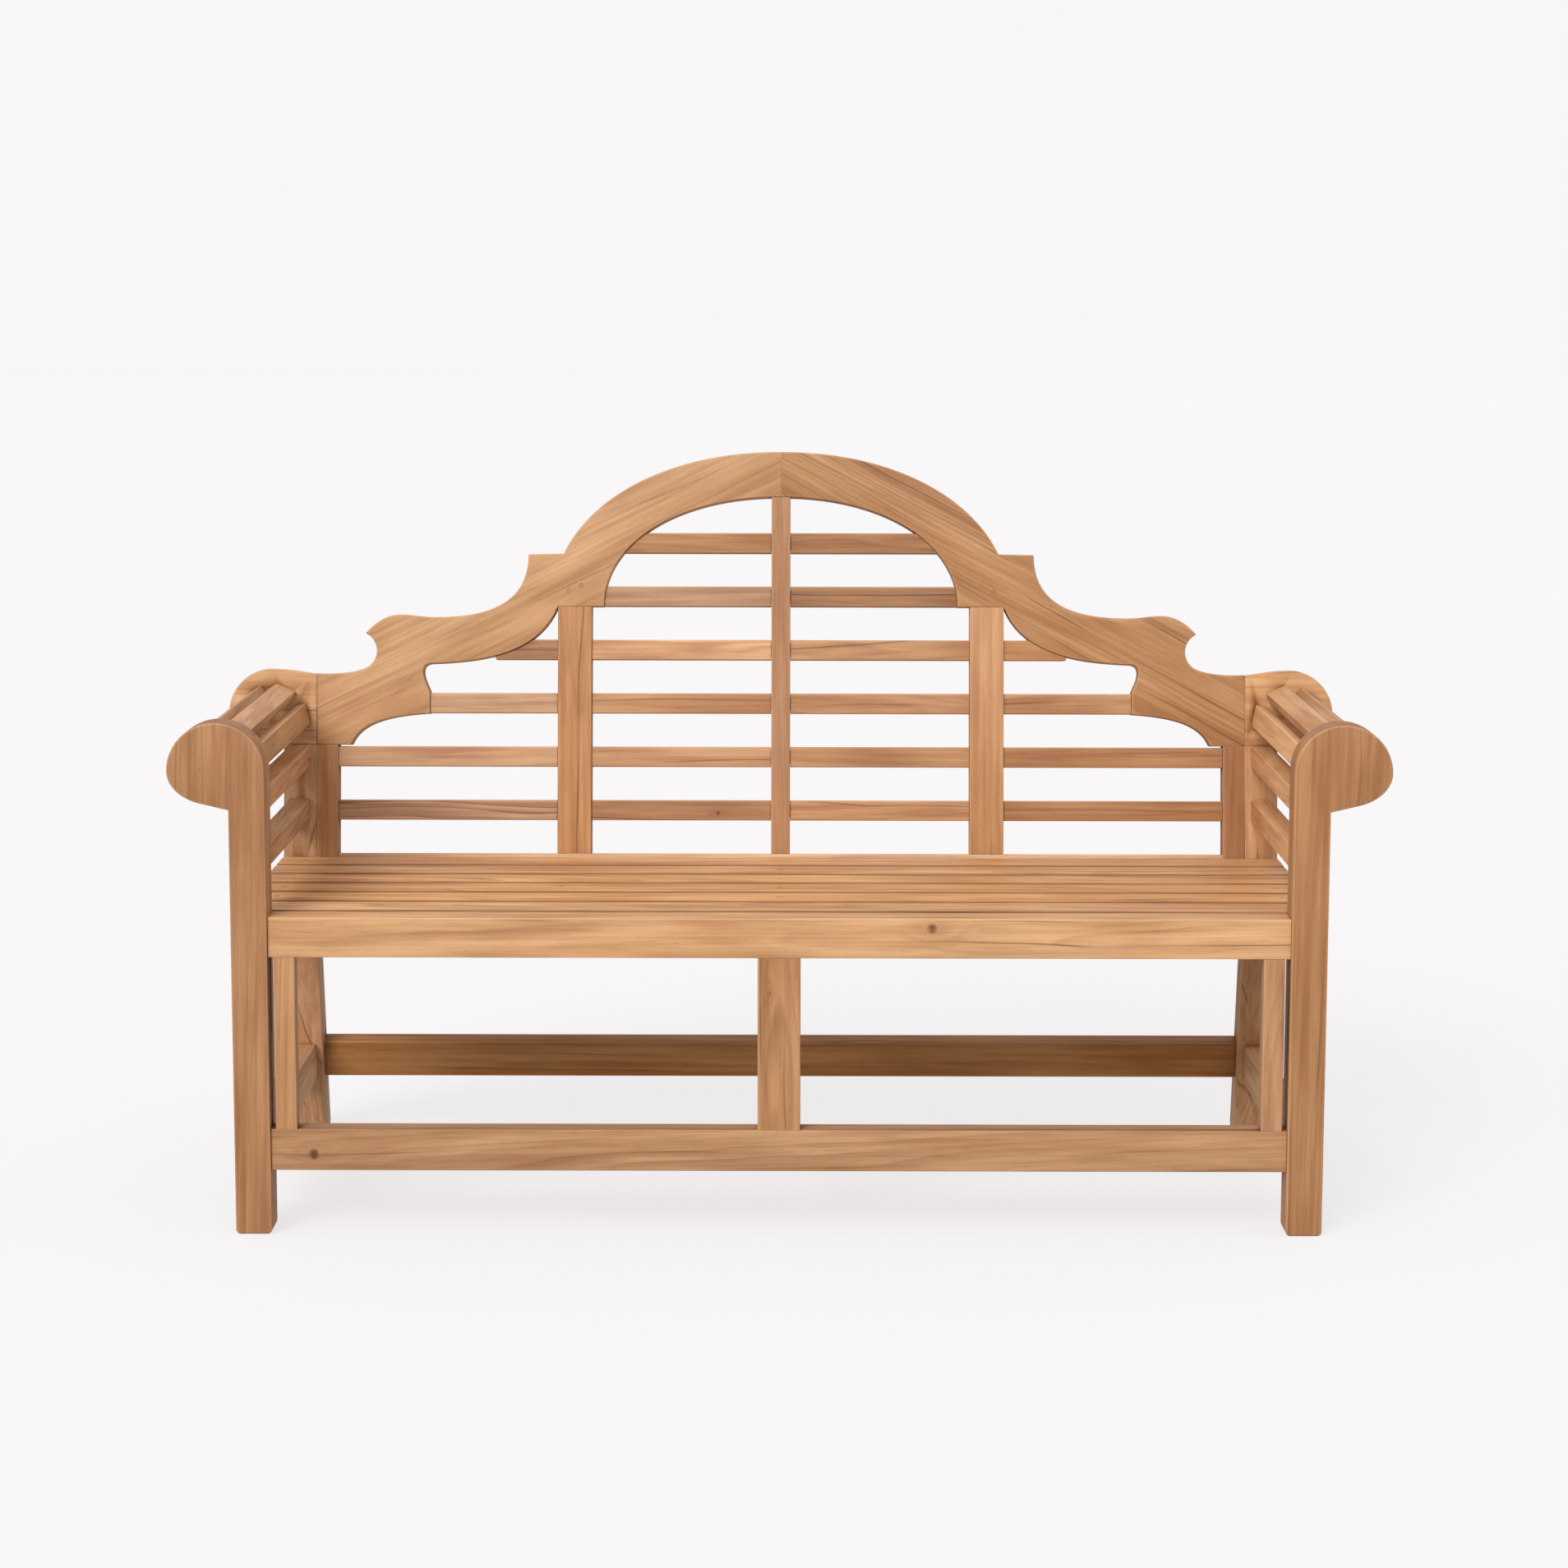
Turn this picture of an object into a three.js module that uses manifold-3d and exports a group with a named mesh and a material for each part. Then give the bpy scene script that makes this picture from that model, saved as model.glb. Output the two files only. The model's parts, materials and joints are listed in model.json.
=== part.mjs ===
// Teak garden bench with a stepped, arched back and rolled slatted arms.
// Millimetres, +Z up, +X to the right, front of the bench towards -Y.
// Five sub-assemblies: two side frames, the back panel, the front frame and the seat.

import * as THREE from 'three';
import { mergeVertices } from 'three/addons/utils/BufferGeometryUtils.js';
import Module from 'manifold-3d';

const wasm = await Module();
wasm.setup();

// ---------------------------------------------------------------- driving dimensions

const fitGap = 0.3;             // clearance between touching pieces
const overcut = 1;              // cutters pass this far beyond what they cut

const innerWidth = 1380;        // clear width between the two side frames
const seatHeight = 437;         // top of the seat slats above the ground
const recline = 8.58 * Math.PI / 180;     // back panel and upper rear legs lean back
const kick = 12.5 * Math.PI / 180;        // lower rear legs splay backwards
const kneeDrop = 89;            // from the seat down to the bend in the rear leg
const kneeBlend = 40;           // length of the rounded bend on each side of the knee

const legWidth = 49;            // legs, across the bench
const legDepth = 55;            // legs, front to back
const footChamfer = 4;          // bevel at the sides of the front feet
const heelChamfer = 9;          // bevel at the back of the rear feet
const faceInset = 5;            // rails and posts stand back from the front of the legs
const backInset = 1;            // the front rail ends this far before the back of the legs
const legTopRise = 2.3;         // the rear leg ends this far above the fifth row of slats

const rollRadius = 65.5;        // upper half of the arm roll
const rollUnder = 46;           // half height of the flattened underside of the roll
const rollUnderEnd = 75 * Math.PI / 180;  // where the underside turns into a straight line
const rollDrop = 118;           // from the top of the front roll down to the outside of the leg
const rearRollDrop = 113;       // the same on the rear scroll block
const rollLift = 11.9;          // the rear roll lies this much higher than the front roll
const blockEdgeDrop = 7;        // seat side of the rear scroll block, below the top of its roll
const blockDowel = 16;          // square tenon between the rear leg and its scroll block

const staveWidth = 32;          // arm slats that follow the roll
const staveThickness = 17;
const staveInset = 12;          // arm slats lie this far inside the outline of the roll
const staveGap = 7.6;           // daylight between the inner corners of two arm slats
const firstStaveAngle = 12 * Math.PI / 180;  // above the horizontal, on the seat side
const staveNames = ['inner', 'top', 'outer'];

const lowSlatNames = ['middle', 'low'];   // straight slats under the roll
const lowSlatWidth = 30;
const lowSlatHeight = 32;
const lowSlatPitch = 79;

const railHeight = 54.5;        // front seat rail
const sideRailHeight = 50;      // seat rails in the side frames
const sideRailWidth = 38;
const bearerWidth = 50;         // middle bearer under the seat
const bearerHeight = 50;

const stretcherBottom = 88;
const stretcherHeight = 57;
const frontStretcherDepth = 38;
const lightStretcherDepth = 30; // side and rear stretchers
const rearStretcherInset = 24;  // behind the front face of the rear leg

const middlePostWidth = 58;
const sidePostWidth = 29;
const sidePostGap = 7;          // daylight between the side post and the front leg

const seatSlatCount = 6;
const seatSlatWidth = 66.5;
const seatSlatGap = 11;
const seatSlatThickness = 20;
const seatBackGap = 7.7;        // last seat slat to the back panel, at seat height

const panelThickness = 36;      // rails and stiles of the back
const backSlatThickness = 22;
const backSlatSetback = 4;      // slats lie behind the front face of the stiles
const backSlatHeight = 30;
const backSlatSpace = 49.6;     // open height between two rows
const backSlatRows = 6;
const bottomRailTop = 4.5;      // above seat height, along the panel
const bottomRailHeight = 62;
const outerStileWidth = 32;
const wideStileWidth = 50.5;
const outerBayWidth = 326.25;   // opening between the wide stile and the outer stile
const muntinWidth = 28;

const archRise = 230.5;         // crown of the arch above its springing
const archOuterStep = 9.25;     // outer arch springs this far outside the wide stile
const archInnerStep = 18.25;    // inner arch springs this far inside the wide stile
const crownDepth = 67;          // height of the rail at the middle of the arch
const archExponent = 2.1;       // 2 would be a plain ellipse
const shoulderRise = 78.5;      // flat shoulder beside the arch, above the springing
const shoulderReach = 44.25;    // outer edge of the shoulder, outside the wide stile
const shoulderFall = 1;         // the shoulder drops this much towards its edge
const coveRise = 77;            // flat of the cove above the top of the rear roll
const coveRun = 115;            // from the flat of the cove to the notch centre
const notchRise = 27;           // notch centre above the top of the rear roll
const notchFromEnd = 59.7;      // notch centre from the end of the rail
const notchRadius = 28.5;
const notchHalfTurn = 66 * Math.PI / 180;  // half of the arc of the notch
const landingFromEnd = 167.7;   // upright face that receives the fourth row of slats
const landingBelow = 0.5;       // that face runs a little past the slat, below and above
const landingAbove = 1;
const lobeRise = 43.7;          // underside of the cove above the fourth row of slats
const lobeReach = 10;           // rounded hollow beyond the landing face
const footStep = 19;            // foot of the rail reaches inside the outer stile
const slatNose = 8;             // slats on a curved edge are squared off this far in

const tenonThickness = 12;
const tenonShoulder = 5;        // tenons are this much smaller than the piece on each side
const tenonLength = 18;
const longTenonLength = 24;     // tenons of the long rails in the legs
const slatTenonLength = 12;     // tenons of the back slats
const tenonRoot = 2;            // how far a tenon is rooted inside its own piece

// ---------------------------------------------------------------- derived dimensions

const halfInner = innerWidth / 2;
const halfPanel = halfInner - fitGap;
const railBack = legDepth - backInset;
const railDepth = railBack - faceInset;
const seatFrontY = railBack + seatSlatGap;
const seatPitch = seatSlatWidth + seatSlatGap;
const seatBackY = seatFrontY + seatSlatCount * seatPitch - seatSlatGap;
const panelFrontY = seatBackY + seatBackGap;
const slatUnderside = seatHeight - seatSlatThickness;
const railBottom = seatHeight - railHeight;
const stretcherTop = stretcherBottom + stretcherHeight;

// Heights in the back panel are taken along the panel, from seat height.
const rowPitch = backSlatHeight + backSlatSpace;
const bottomRailBottom = bottomRailTop - bottomRailHeight;
const archSpring = rowBottom(2);
const crownTop = archSpring + archRise;
const shoulderHeight = archSpring + shoulderRise;
const rearLegTop = rowTop(5) + legTopRise;
const blockRollTop = rearLegTop + rearRollDrop;
const railEndHeight = blockRollTop - blockEdgeDrop;
const coveHeight = blockRollTop + coveRise;

const outerStileInner = halfInner - outerStileWidth;
const wideStileOuter = outerStileInner - outerBayWidth;
const wideStileInner = wideStileOuter - wideStileWidth;
const wideStileCentre = (wideStileInner + wideStileOuter) / 2;
const crownOuterHalf = wideStileOuter + archOuterStep;
const crownInnerHalf = wideStileInner - archInnerStep;

const kneeHeight = seatHeight - kneeDrop;
const armHeight = seatHeight + blockRollTop * Math.cos(recline) - rollLift;
const rollCentreZ = armHeight - rollRadius;
const legShoulderZ = armHeight - rollDrop;
const lowSlatTop = seatHeight + rearLegTop * Math.cos(recline);

// Edges of a row of back slats above seat height, rows numbered from the top.
function rowBottom(row) {
  return bottomRailTop + backSlatSpace + (backSlatRows - row) * rowPitch;
}

function rowTop(row) {
  return rowBottom(row) + backSlatHeight;
}

// Depth of the front face of the rear leg and of the back panel at a height above the ground.
function rearFaceY(height) {
  const kneeY = panelFrontY - kneeDrop * Math.tan(recline);
  const rise = height - kneeHeight;
  return kneeY + (rise > 0 ? rise * Math.tan(recline) : -rise * Math.tan(kick));
}

// ---------------------------------------------------------------- solids

const worldFrame = new THREE.Matrix4();
// Back panel: x across, y up along the leaning panel, z towards the front.
const panelFrame = new THREE.Matrix4()
  .makeRotationX(Math.PI / 2 - recline)
  .setPosition(0, panelFrontY, seatHeight);
// Rear stretcher: on the front face of the splayed lower part of the rear legs.
const kickFrameZ = stretcherBottom - rearStretcherInset * Math.sin(kick);
const kickFrame = new THREE.Matrix4()
  .makeRotationX(kick)
  .setPosition(0, rearFaceY(kickFrameZ), kickFrameZ);

function toSolid(geometry, frame = worldFrame) {
  const bare = geometry.clone();
  bare.deleteAttribute('normal');
  bare.deleteAttribute('uv');
  bare.applyMatrix4(frame);
  const merged = mergeVertices(bare, 1e-3);
  return new wasm.Manifold(new wasm.Mesh({
    numProp: 3,
    vertProperties: new Float32Array(merged.attributes.position.array),
    triVerts: new Uint32Array(merged.index.array),
  }));
}

function toGeometry(solid) {
  const mesh = solid.getMesh();
  const geometry = new THREE.BufferGeometry();
  geometry.setAttribute('position', new THREE.BufferAttribute(mesh.vertProperties, 3));
  geometry.setIndex(new THREE.BufferAttribute(mesh.triVerts, 1));
  geometry.computeVertexNormals();
  return geometry;
}

// A rectangular bar between two opposite corners, grown by a margin on every side.
function bar(low, high, frame = worldFrame, margin = 0) {
  const size = [0, 1, 2].map((i) => high[i] - low[i] + 2 * margin);
  const middle = [0, 1, 2].map((i) => (high[i] + low[i]) / 2);
  const box = new THREE.BoxGeometry(...size);
  box.translate(...middle);
  return toSolid(box, frame);
}

// A flat outline given a thickness along its own z axis.
function plate(points, thickness, frame) {
  const shape = new THREE.Shape(points);
  const geometry = new THREE.ExtrudeGeometry(shape, { depth: thickness, bevelEnabled: false });
  return toSolid(geometry, frame);
}

// The same closed outline moved outwards by a distance.
function outset(points, distance) {
  const turn = THREE.ShapeUtils.isClockWise(points) ? -1 : 1;
  const sharpest = 0.5;         // limits how far a pointed corner moves
  return points.map((point, i) => {
    const before = points[(i + points.length - 1) % points.length];
    const after = points[(i + 1) % points.length];
    const into = point.clone().sub(before).normalize();
    const out = after.clone().sub(point).normalize();
    const normal = new THREE.Vector2(into.y + out.y, -into.x - out.x).normalize();
    const spread = Math.max(sharpest, normal.dot(new THREE.Vector2(out.y, -out.x)));
    return point.clone().addScaledVector(normal, turn * distance / spread);
  });
}

// Steps back from the front face of the panel, which is where its pieces are drawn.
function behindPanel(distance) {
  return panelFrame.clone().multiply(new THREE.Matrix4().setPosition(0, 0, -distance));
}

// ---------------------------------------------------------------- pieces and joints

const pieces = new Map();

function addPiece(name, group, colour, solid) {
  pieces.set(name, { name, group, colour, solid });
  return pieces.get(name);
}

// A tenon on one piece and the mortise that receives it in another.
function join(tenonPiece, mortisePiece, low, high, frame = worldFrame) {
  tenonPiece.solid = tenonPiece.solid.add(bar(low, high, frame));
  mortisePiece.solid = mortisePiece.solid.subtract(bar(low, high, frame, fitGap));
}

function cut(target, tool) {
  target.solid = target.solid.subtract(tool);
}

function sideName(side) {
  return side < 0 ? 'left' : 'right';
}

// Orders a pair of x values, so that mirrored pieces can be written once.
function spanX(side, a, b) {
  return side < 0 ? [-Math.max(a, b), -Math.min(a, b)] : [Math.min(a, b), Math.max(a, b)];
}

const teak = {
  leg: 0xb98558,
  rail: 0xcb986a,
  panel: 0xc79062,
  slat: 0xc08a5c,
  shade: 0x9a6a43,
};

const groups = {
  sideFrames: new THREE.Group(),
  back: new THREE.Group(),
  front: new THREE.Group(),
  rearStretcher: new THREE.Group(),
  seat: new THREE.Group(),
};
const groupFrames = new Map([
  [groups.sideFrames, worldFrame],
  [groups.back, panelFrame],
  [groups.front, worldFrame],
  [groups.rearStretcher, kickFrame],
  [groups.seat, worldFrame],
]);

// ---------------------------------------------------------------- side frames

// Outline of the roll from the outside of the leg, under, round and over to the seat side.
// u runs outwards from the inner face of the leg, v upwards.
function rollOutline(centreV, shoulderV) {
  const points = [new THREE.Vector2(legWidth, shoulderV)];
  const underSteps = 14;
  for (let i = underSteps; i > 0; i -= 1) {
    const angle = rollUnderEnd * i / underSteps;
    const u = rollRadius + rollRadius * Math.cos(angle);
    points.push(new THREE.Vector2(u, centreV - rollUnder * Math.sin(angle)));
  }
  const overSteps = 36;
  for (let i = 0; i <= overSteps; i += 1) {
    const angle = Math.PI * i / overSteps;
    const u = rollRadius + rollRadius * Math.cos(angle);
    points.push(new THREE.Vector2(u, centreV + rollRadius * Math.sin(angle)));
  }
  return points;
}

function mirrored(points, side) {
  return points.map((point) => new THREE.Vector2(side * (halfInner + point.x), point.y));
}

function frontLegOutline() {
  return [
    new THREE.Vector2(0, footChamfer),
    new THREE.Vector2(footChamfer, 0),
    new THREE.Vector2(legWidth - footChamfer, 0),
    new THREE.Vector2(legWidth, footChamfer),
    ...rollOutline(rollCentreZ, legShoulderZ),
  ];
}

function makeFrontLeg(side) {
  const frame = new THREE.Matrix4().makeRotationX(Math.PI / 2).setPosition(0, legDepth, 0);
  const solid = plate(mirrored(frontLegOutline(), side), legDepth, frame);
  return addPiece(`front_leg_${sideName(side)}`, groups.sideFrames, teak.leg, solid);
}

// Side view of the rear leg: x is depth, y is height.
function rearLegOutline() {
  const lean = new THREE.Vector2(Math.sin(recline), Math.cos(recline));
  const splay = new THREE.Vector2(Math.sin(kick), -Math.cos(kick));
  const frontKnee = new THREE.Vector2(rearFaceY(kneeHeight), kneeHeight);
  const halfTurn = (recline + kick) / 2;
  const tilt = (recline - kick) / 2;
  const bisector = new THREE.Vector2(Math.cos(tilt), -Math.sin(tilt));
  const backKnee = frontKnee.clone().addScaledVector(bisector, legDepth / Math.cos(halfTurn));
  const topLength = rearLegTop + kneeDrop / Math.cos(recline);
  const frontTop = frontKnee.clone().addScaledVector(lean, topLength);
  const backTop = frontTop.clone().add(new THREE.Vector2(lean.y, -lean.x).multiplyScalar(legDepth));
  const backFootX = backKnee.x + backKnee.y * Math.tan(kick);

  const shape = new THREE.Shape();
  shape.moveTo(rearFaceY(0), 0);
  const frontIn = frontKnee.clone().addScaledVector(splay, kneeBlend);
  const frontOut = frontKnee.clone().addScaledVector(lean, kneeBlend);
  shape.lineTo(frontIn.x, frontIn.y);
  shape.quadraticCurveTo(frontKnee.x, frontKnee.y, frontOut.x, frontOut.y);
  shape.lineTo(frontTop.x, frontTop.y);
  shape.lineTo(backTop.x, backTop.y);
  const backIn = backKnee.clone().addScaledVector(lean, kneeBlend);
  const backOut = backKnee.clone().addScaledVector(splay, kneeBlend);
  shape.lineTo(backIn.x, backIn.y);
  shape.quadraticCurveTo(backKnee.x, backKnee.y, backOut.x, backOut.y);
  shape.lineTo(backFootX - heelChamfer * Math.tan(kick), heelChamfer);
  shape.lineTo(backFootX - heelChamfer, 0);
  const kneeSteps = 8;
  return shape.getPoints(kneeSteps);
}

// Depth is mapped to Y, height to Z and the thickness to X.
function sidewaysFrame(x) {
  return new THREE.Matrix4()
    .makeBasis(new THREE.Vector3(0, 1, 0), new THREE.Vector3(0, 0, 1), new THREE.Vector3(1, 0, 0))
    .setPosition(x, 0, 0);
}

function makeRearLeg(side) {
  const [lowX] = spanX(side, halfInner, halfInner + legWidth);
  const solid = plate(rearLegOutline(), legWidth, sidewaysFrame(lowX));
  return addPiece(`rear_leg_${sideName(side)}`, groups.sideFrames, teak.leg, solid);
}

// The rear scroll block sits on the rear leg; its seat side runs on into the top rail.
function rearBlockOutline() {
  const base = rearLegTop + fitGap;
  const roll = rollOutline(blockRollTop - rollRadius, base)
    .filter((point) => point.x > rollRadius || point.y === base);
  const rollHandle = 30;        // how long the top of the roll stays level towards the seat
  const edgeHandle = 18;        // the same where the curve meets the rail
  const edgeRise = 1;
  const shape = new THREE.Shape();
  shape.moveTo(roll[0].x, roll[0].y);
  roll.slice(1).forEach((point) => shape.lineTo(point.x, point.y));
  shape.bezierCurveTo(rollRadius - rollHandle, blockRollTop, edgeHandle, railEndHeight + edgeRise,
    0, railEndHeight);
  shape.lineTo(0, base);
  const curveSteps = 14;
  return shape.getPoints(curveSteps);
}

function makeRearBlock(side) {
  const solid = plate(mirrored(rearBlockOutline(), side), legDepth, behindPanel(legDepth));
  return addPiece(`rear_scroll_block_${sideName(side)}`, groups.sideFrames, teak.rail, solid);
}

// A solid of the rear leg and block that is larger by the fit gap, to trim what meets them.
function rearEndTool(side) {
  const [lowX] = spanX(side, halfInner, halfInner + legWidth);
  const frame = sidewaysFrame(lowX - overcut);
  const leg = plate(outset(rearLegOutline(), fitGap), legWidth + 2 * overcut, frame);
  const blockOutline = mirrored(outset(rearBlockOutline(), fitGap), side);
  return leg.add(plate(blockOutline, legDepth + fitGap, behindPanel(legDepth)));
}

// One arm slat from the front leg to the rear leg or block, with a tenon at each end.
// The section is centred on (u, v) and turned by the given angle.
function makeArmSlat(side, name, u, v, width, thickness, angle, rear, tool) {
  const frontY = legDepth + fitGap;
  const rearY = rearFaceY(v);
  const middle = new THREE.Matrix4()
    .makeRotationY(side * angle)
    .setPosition(side * (halfInner + u), 0, v);
  const half = [thickness / 2, width / 2];
  const solid = bar([-half[0], frontY, -half[1]], [half[0], rearY + thickness, half[1]], middle);
  const slat = addPiece(`arm_slat_${name}_${sideName(side)}`, groups.sideFrames, teak.slat, solid);
  cut(slat, tool);
  const tongue = [tenonThickness / 2, width / 2 - tenonShoulder];
  const front = pieces.get(`front_leg_${sideName(side)}`);
  join(slat, front, [-tongue[0], legDepth - tenonLength, -tongue[1]],
    [tongue[0], frontY + tenonRoot, tongue[1]], middle);
  join(slat, rear, [-tongue[0], rearY - tenonLength, -tongue[1]],
    [tongue[0], rearY + tenonLength, tongue[1]], middle);
}

function makeArmSlats(side, tool) {
  const leg = pieces.get(`rear_leg_${sideName(side)}`);
  const block = pieces.get(`rear_scroll_block_${sideName(side)}`);
  const innerRadius = rollRadius - staveInset - staveThickness;
  const middleRadius = innerRadius + staveThickness / 2;
  const staveStep = 2 * Math.atan((staveWidth + staveGap) / 2 / innerRadius);
  staveNames.forEach((name, i) => {
    const angle = firstStaveAngle + i * staveStep;
    const u = rollRadius - middleRadius * Math.cos(angle);
    const v = rollCentreZ + middleRadius * Math.sin(angle);
    makeArmSlat(side, name, u, v, staveWidth, staveThickness, angle, block, tool);
  });
  lowSlatNames.forEach((name, i) => {
    const v = lowSlatTop - i * lowSlatPitch - lowSlatHeight / 2;
    makeArmSlat(side, name, legWidth / 2, v, lowSlatHeight, lowSlatWidth, 0, leg, tool);
  });
}

// A straight member of the side frame between the front and the rear leg.
function makeSideMember(side, name, width, bottom, top, tool) {
  const middleX = side * (halfInner + legWidth / 2);
  const rearY = Math.max(rearFaceY(bottom), rearFaceY(top));
  const solid = bar([middleX - width / 2, legDepth + fitGap, bottom],
    [middleX + width / 2, rearY + legDepth / 2, top]);
  const member = addPiece(`${name}_${sideName(side)}`, groups.sideFrames, teak.rail, solid);
  cut(member, tool);
  const tongueX = [middleX - tenonThickness / 2, middleX + tenonThickness / 2];
  const tongueZ = [bottom + tenonShoulder, top - tenonShoulder];
  // Both tenons stop short of the long tenons that cross their way in the legs.
  const frontStop = (faceInset + railBack + tenonThickness) / 2 + 2 * fitGap;
  const frontTip = Math.max(legDepth - tenonLength, frontStop);
  const crossInset = rearStretcherInset + (lightStretcherDepth - tenonThickness) / 2 - 2 * fitGap;
  const rearTip = Math.min(rearY + tenonLength, rearFaceY(tongueZ[1]) + crossInset / Math.cos(kick));
  join(member, pieces.get(`front_leg_${sideName(side)}`), [tongueX[0], frontTip, tongueZ[0]],
    [tongueX[1], legDepth + fitGap + tenonRoot, tongueZ[1]]);
  join(member, pieces.get(`rear_leg_${sideName(side)}`), [tongueX[0], rearY - tenonLength, tongueZ[0]],
    [tongueX[1], rearTip, tongueZ[1]]);
}

function makeSideFrame(side) {
  makeFrontLeg(side);
  const rearLeg = makeRearLeg(side);
  const block = makeRearBlock(side);
  const dowelX = side * (halfInner + legWidth / 2);
  const dowelBack = 2 * tenonShoulder - legDepth;   // behind the tenons of the arm slats
  join(rearLeg, block, [dowelX - blockDowel / 2, rearLegTop - tenonRoot, dowelBack],
    [dowelX + blockDowel / 2, rearLegTop + tenonLength, dowelBack + blockDowel], panelFrame);
  const tool = rearEndTool(side);
  makeArmSlats(side, tool);
  const railFloor = slatUnderside - sideRailHeight;
  makeSideMember(side, 'side_seat_rail', sideRailWidth, railFloor, slatUnderside - fitGap, tool);
  makeSideMember(side, 'side_stretcher', lightStretcherDepth, stretcherBottom, stretcherTop, tool);
}

// ---------------------------------------------------------------- back panel

// Part of a quarter arch; angle 0 is its springing and a quarter turn its crown.
function archPoints(halfWidth, height, fromAngle, toAngle, steps) {
  const power = 2 / archExponent;
  return Array.from({ length: steps + 1 }, (_, i) => {
    const angle = fromAngle + (toAngle - fromAngle) * i / steps;
    const x = halfWidth * Math.cos(angle) ** power;
    return new THREE.Vector2(x, archSpring + height * Math.sin(angle) ** power);
  });
}

// From the shoulder down through the cove and the notch to the end of the rail.
function addRailTop(path) {
  const shoulderHalf = wideStileOuter + shoulderReach;
  const notch = new THREE.Vector2(halfPanel - notchFromEnd, blockRollTop + notchRise);
  const coveEnd = notch.x - coveRun;
  const coveHandle = new THREE.Vector2(60, 20);
  const tipHandles = [43, 50];
  const tipRise = 18;
  const lipReach = 12;
  const tipAngle = Math.PI - notchHalfTurn;
  const tip = new THREE.Vector2(Math.cos(tipAngle), Math.sin(tipAngle))
    .multiplyScalar(notchRadius)
    .add(notch);
  path.lineTo(shoulderHalf, shoulderHeight - shoulderFall);
  path.bezierCurveTo(shoulderHalf, coveHeight + coveHandle.y, shoulderHalf + coveHandle.x, coveHeight,
    coveEnd, coveHeight);
  path.bezierCurveTo(coveEnd + tipHandles[0], coveHeight, notch.x - tipHandles[1], coveHeight + tipRise,
    tip.x, tip.y);
  path.absarc(notch.x, notch.y, notchRadius, tipAngle, Math.PI + notchHalfTurn, false);
  path.quadraticCurveTo(notch.x + lipReach, railEndHeight - 2, halfPanel, railEndHeight);
}

// From the end of the rail back along its underside to the wide stile.
function addRailUnderside(path) {
  const footBottom = rearLegTop + fitGap;
  const footHalf = outerStileInner - footStep;
  const landingHalf = halfPanel - landingFromEnd;
  const landingBottom = rowBottom(4) - landingBelow;
  const lobeTop = rowTop(4) + lobeRise;
  const lobeOuter = landingHalf + lobeReach;
  const footHandles = [[12, 30], [49, 4]];
  const lobeHandles = [[6, 31], [0, 23], [0, 12]];
  const lobeTurn = 14;
  const coveHandles = [[82, 3], [28, 15]];
  path.lineTo(halfPanel, footBottom);
  path.lineTo(footHalf, footBottom);
  path.bezierCurveTo(footHalf - footHandles[0][0], footBottom + footHandles[0][1],
    footHalf - footHandles[1][0], landingBottom - footHandles[1][1], landingHalf, landingBottom);
  path.lineTo(landingHalf, rowTop(4) + landingAbove);
  path.bezierCurveTo(lobeOuter - lobeHandles[0][0], lobeTop - lobeHandles[0][1],
    lobeOuter, lobeTop - lobeHandles[1][1], lobeOuter, lobeTop - lobeHandles[2][1]);
  path.quadraticCurveTo(lobeOuter, lobeTop, lobeOuter - lobeTurn, lobeTop);
  path.bezierCurveTo(landingHalf - coveHandles[0][0], lobeTop + coveHandles[0][1],
    wideStileOuter + coveHandles[1][0], lobeTop + coveHandles[1][1], wideStileOuter, archSpring);
}

function topRailOutline() {
  const quarter = Math.PI / 2;
  const flatness = (shoulderRise / archRise) ** (archExponent / 2);
  const outer = archPoints(crownOuterHalf, archRise, quarter, Math.asin(flatness), 40);
  const inner = archPoints(crownInnerHalf, archRise - crownDepth, 0, quarter, 36);
  const path = new THREE.Path();
  path.moveTo(outer.at(-1).x, outer.at(-1).y);
  addRailTop(path);
  addRailUnderside(path);
  const curveSteps = 18;
  const right = [...outer.slice(0, -1), ...path.getPoints(curveSteps), ...inner];
  const left = right.slice(1, -1).map((point) => new THREE.Vector2(-point.x, point.y)).reverse();
  right[0].x = 0;
  right.at(-1).x = 0;
  return [...right, ...left];
}

// Nearest x beyond a starting x where the outline of the top rail crosses a height.
function railEdgeX(outline, height, fromX) {
  const crossings = outline.map((point, i) => [point, outline[(i + 1) % outline.length]])
    .filter(([a, b]) => (a.y - height) * (b.y - height) < 0)
    .map(([a, b]) => a.x + (b.x - a.x) * (height - a.y) / (b.y - a.y));
  return Math.min(...crossings.filter((x) => x > fromX));
}

function panelBar(name, colour, low, high, front = 0, thickness = panelThickness) {
  const solid = bar([low[0], low[1], -front - thickness], [high[0], high[1], -front], panelFrame);
  return addPiece(name, groups.back, colour, solid);
}

// Tenons in the back panel lie in the middle of the slat or stile thickness.
function panelJoin(tenonPiece, mortisePiece, low, high, front = 0, thickness = panelThickness) {
  const middle = -front - thickness / 2;
  const half = Math.min(tenonThickness, thickness / 2) / 2;
  join(tenonPiece, mortisePiece, [low[0], low[1], middle - half],
    [high[0], high[1], middle + half], panelFrame);
}

function makeBottomRail() {
  const half = outerStileInner - fitGap;
  return panelBar('back_bottom_rail', teak.rail, [-half, bottomRailBottom], [half, bottomRailTop]);
}

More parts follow.
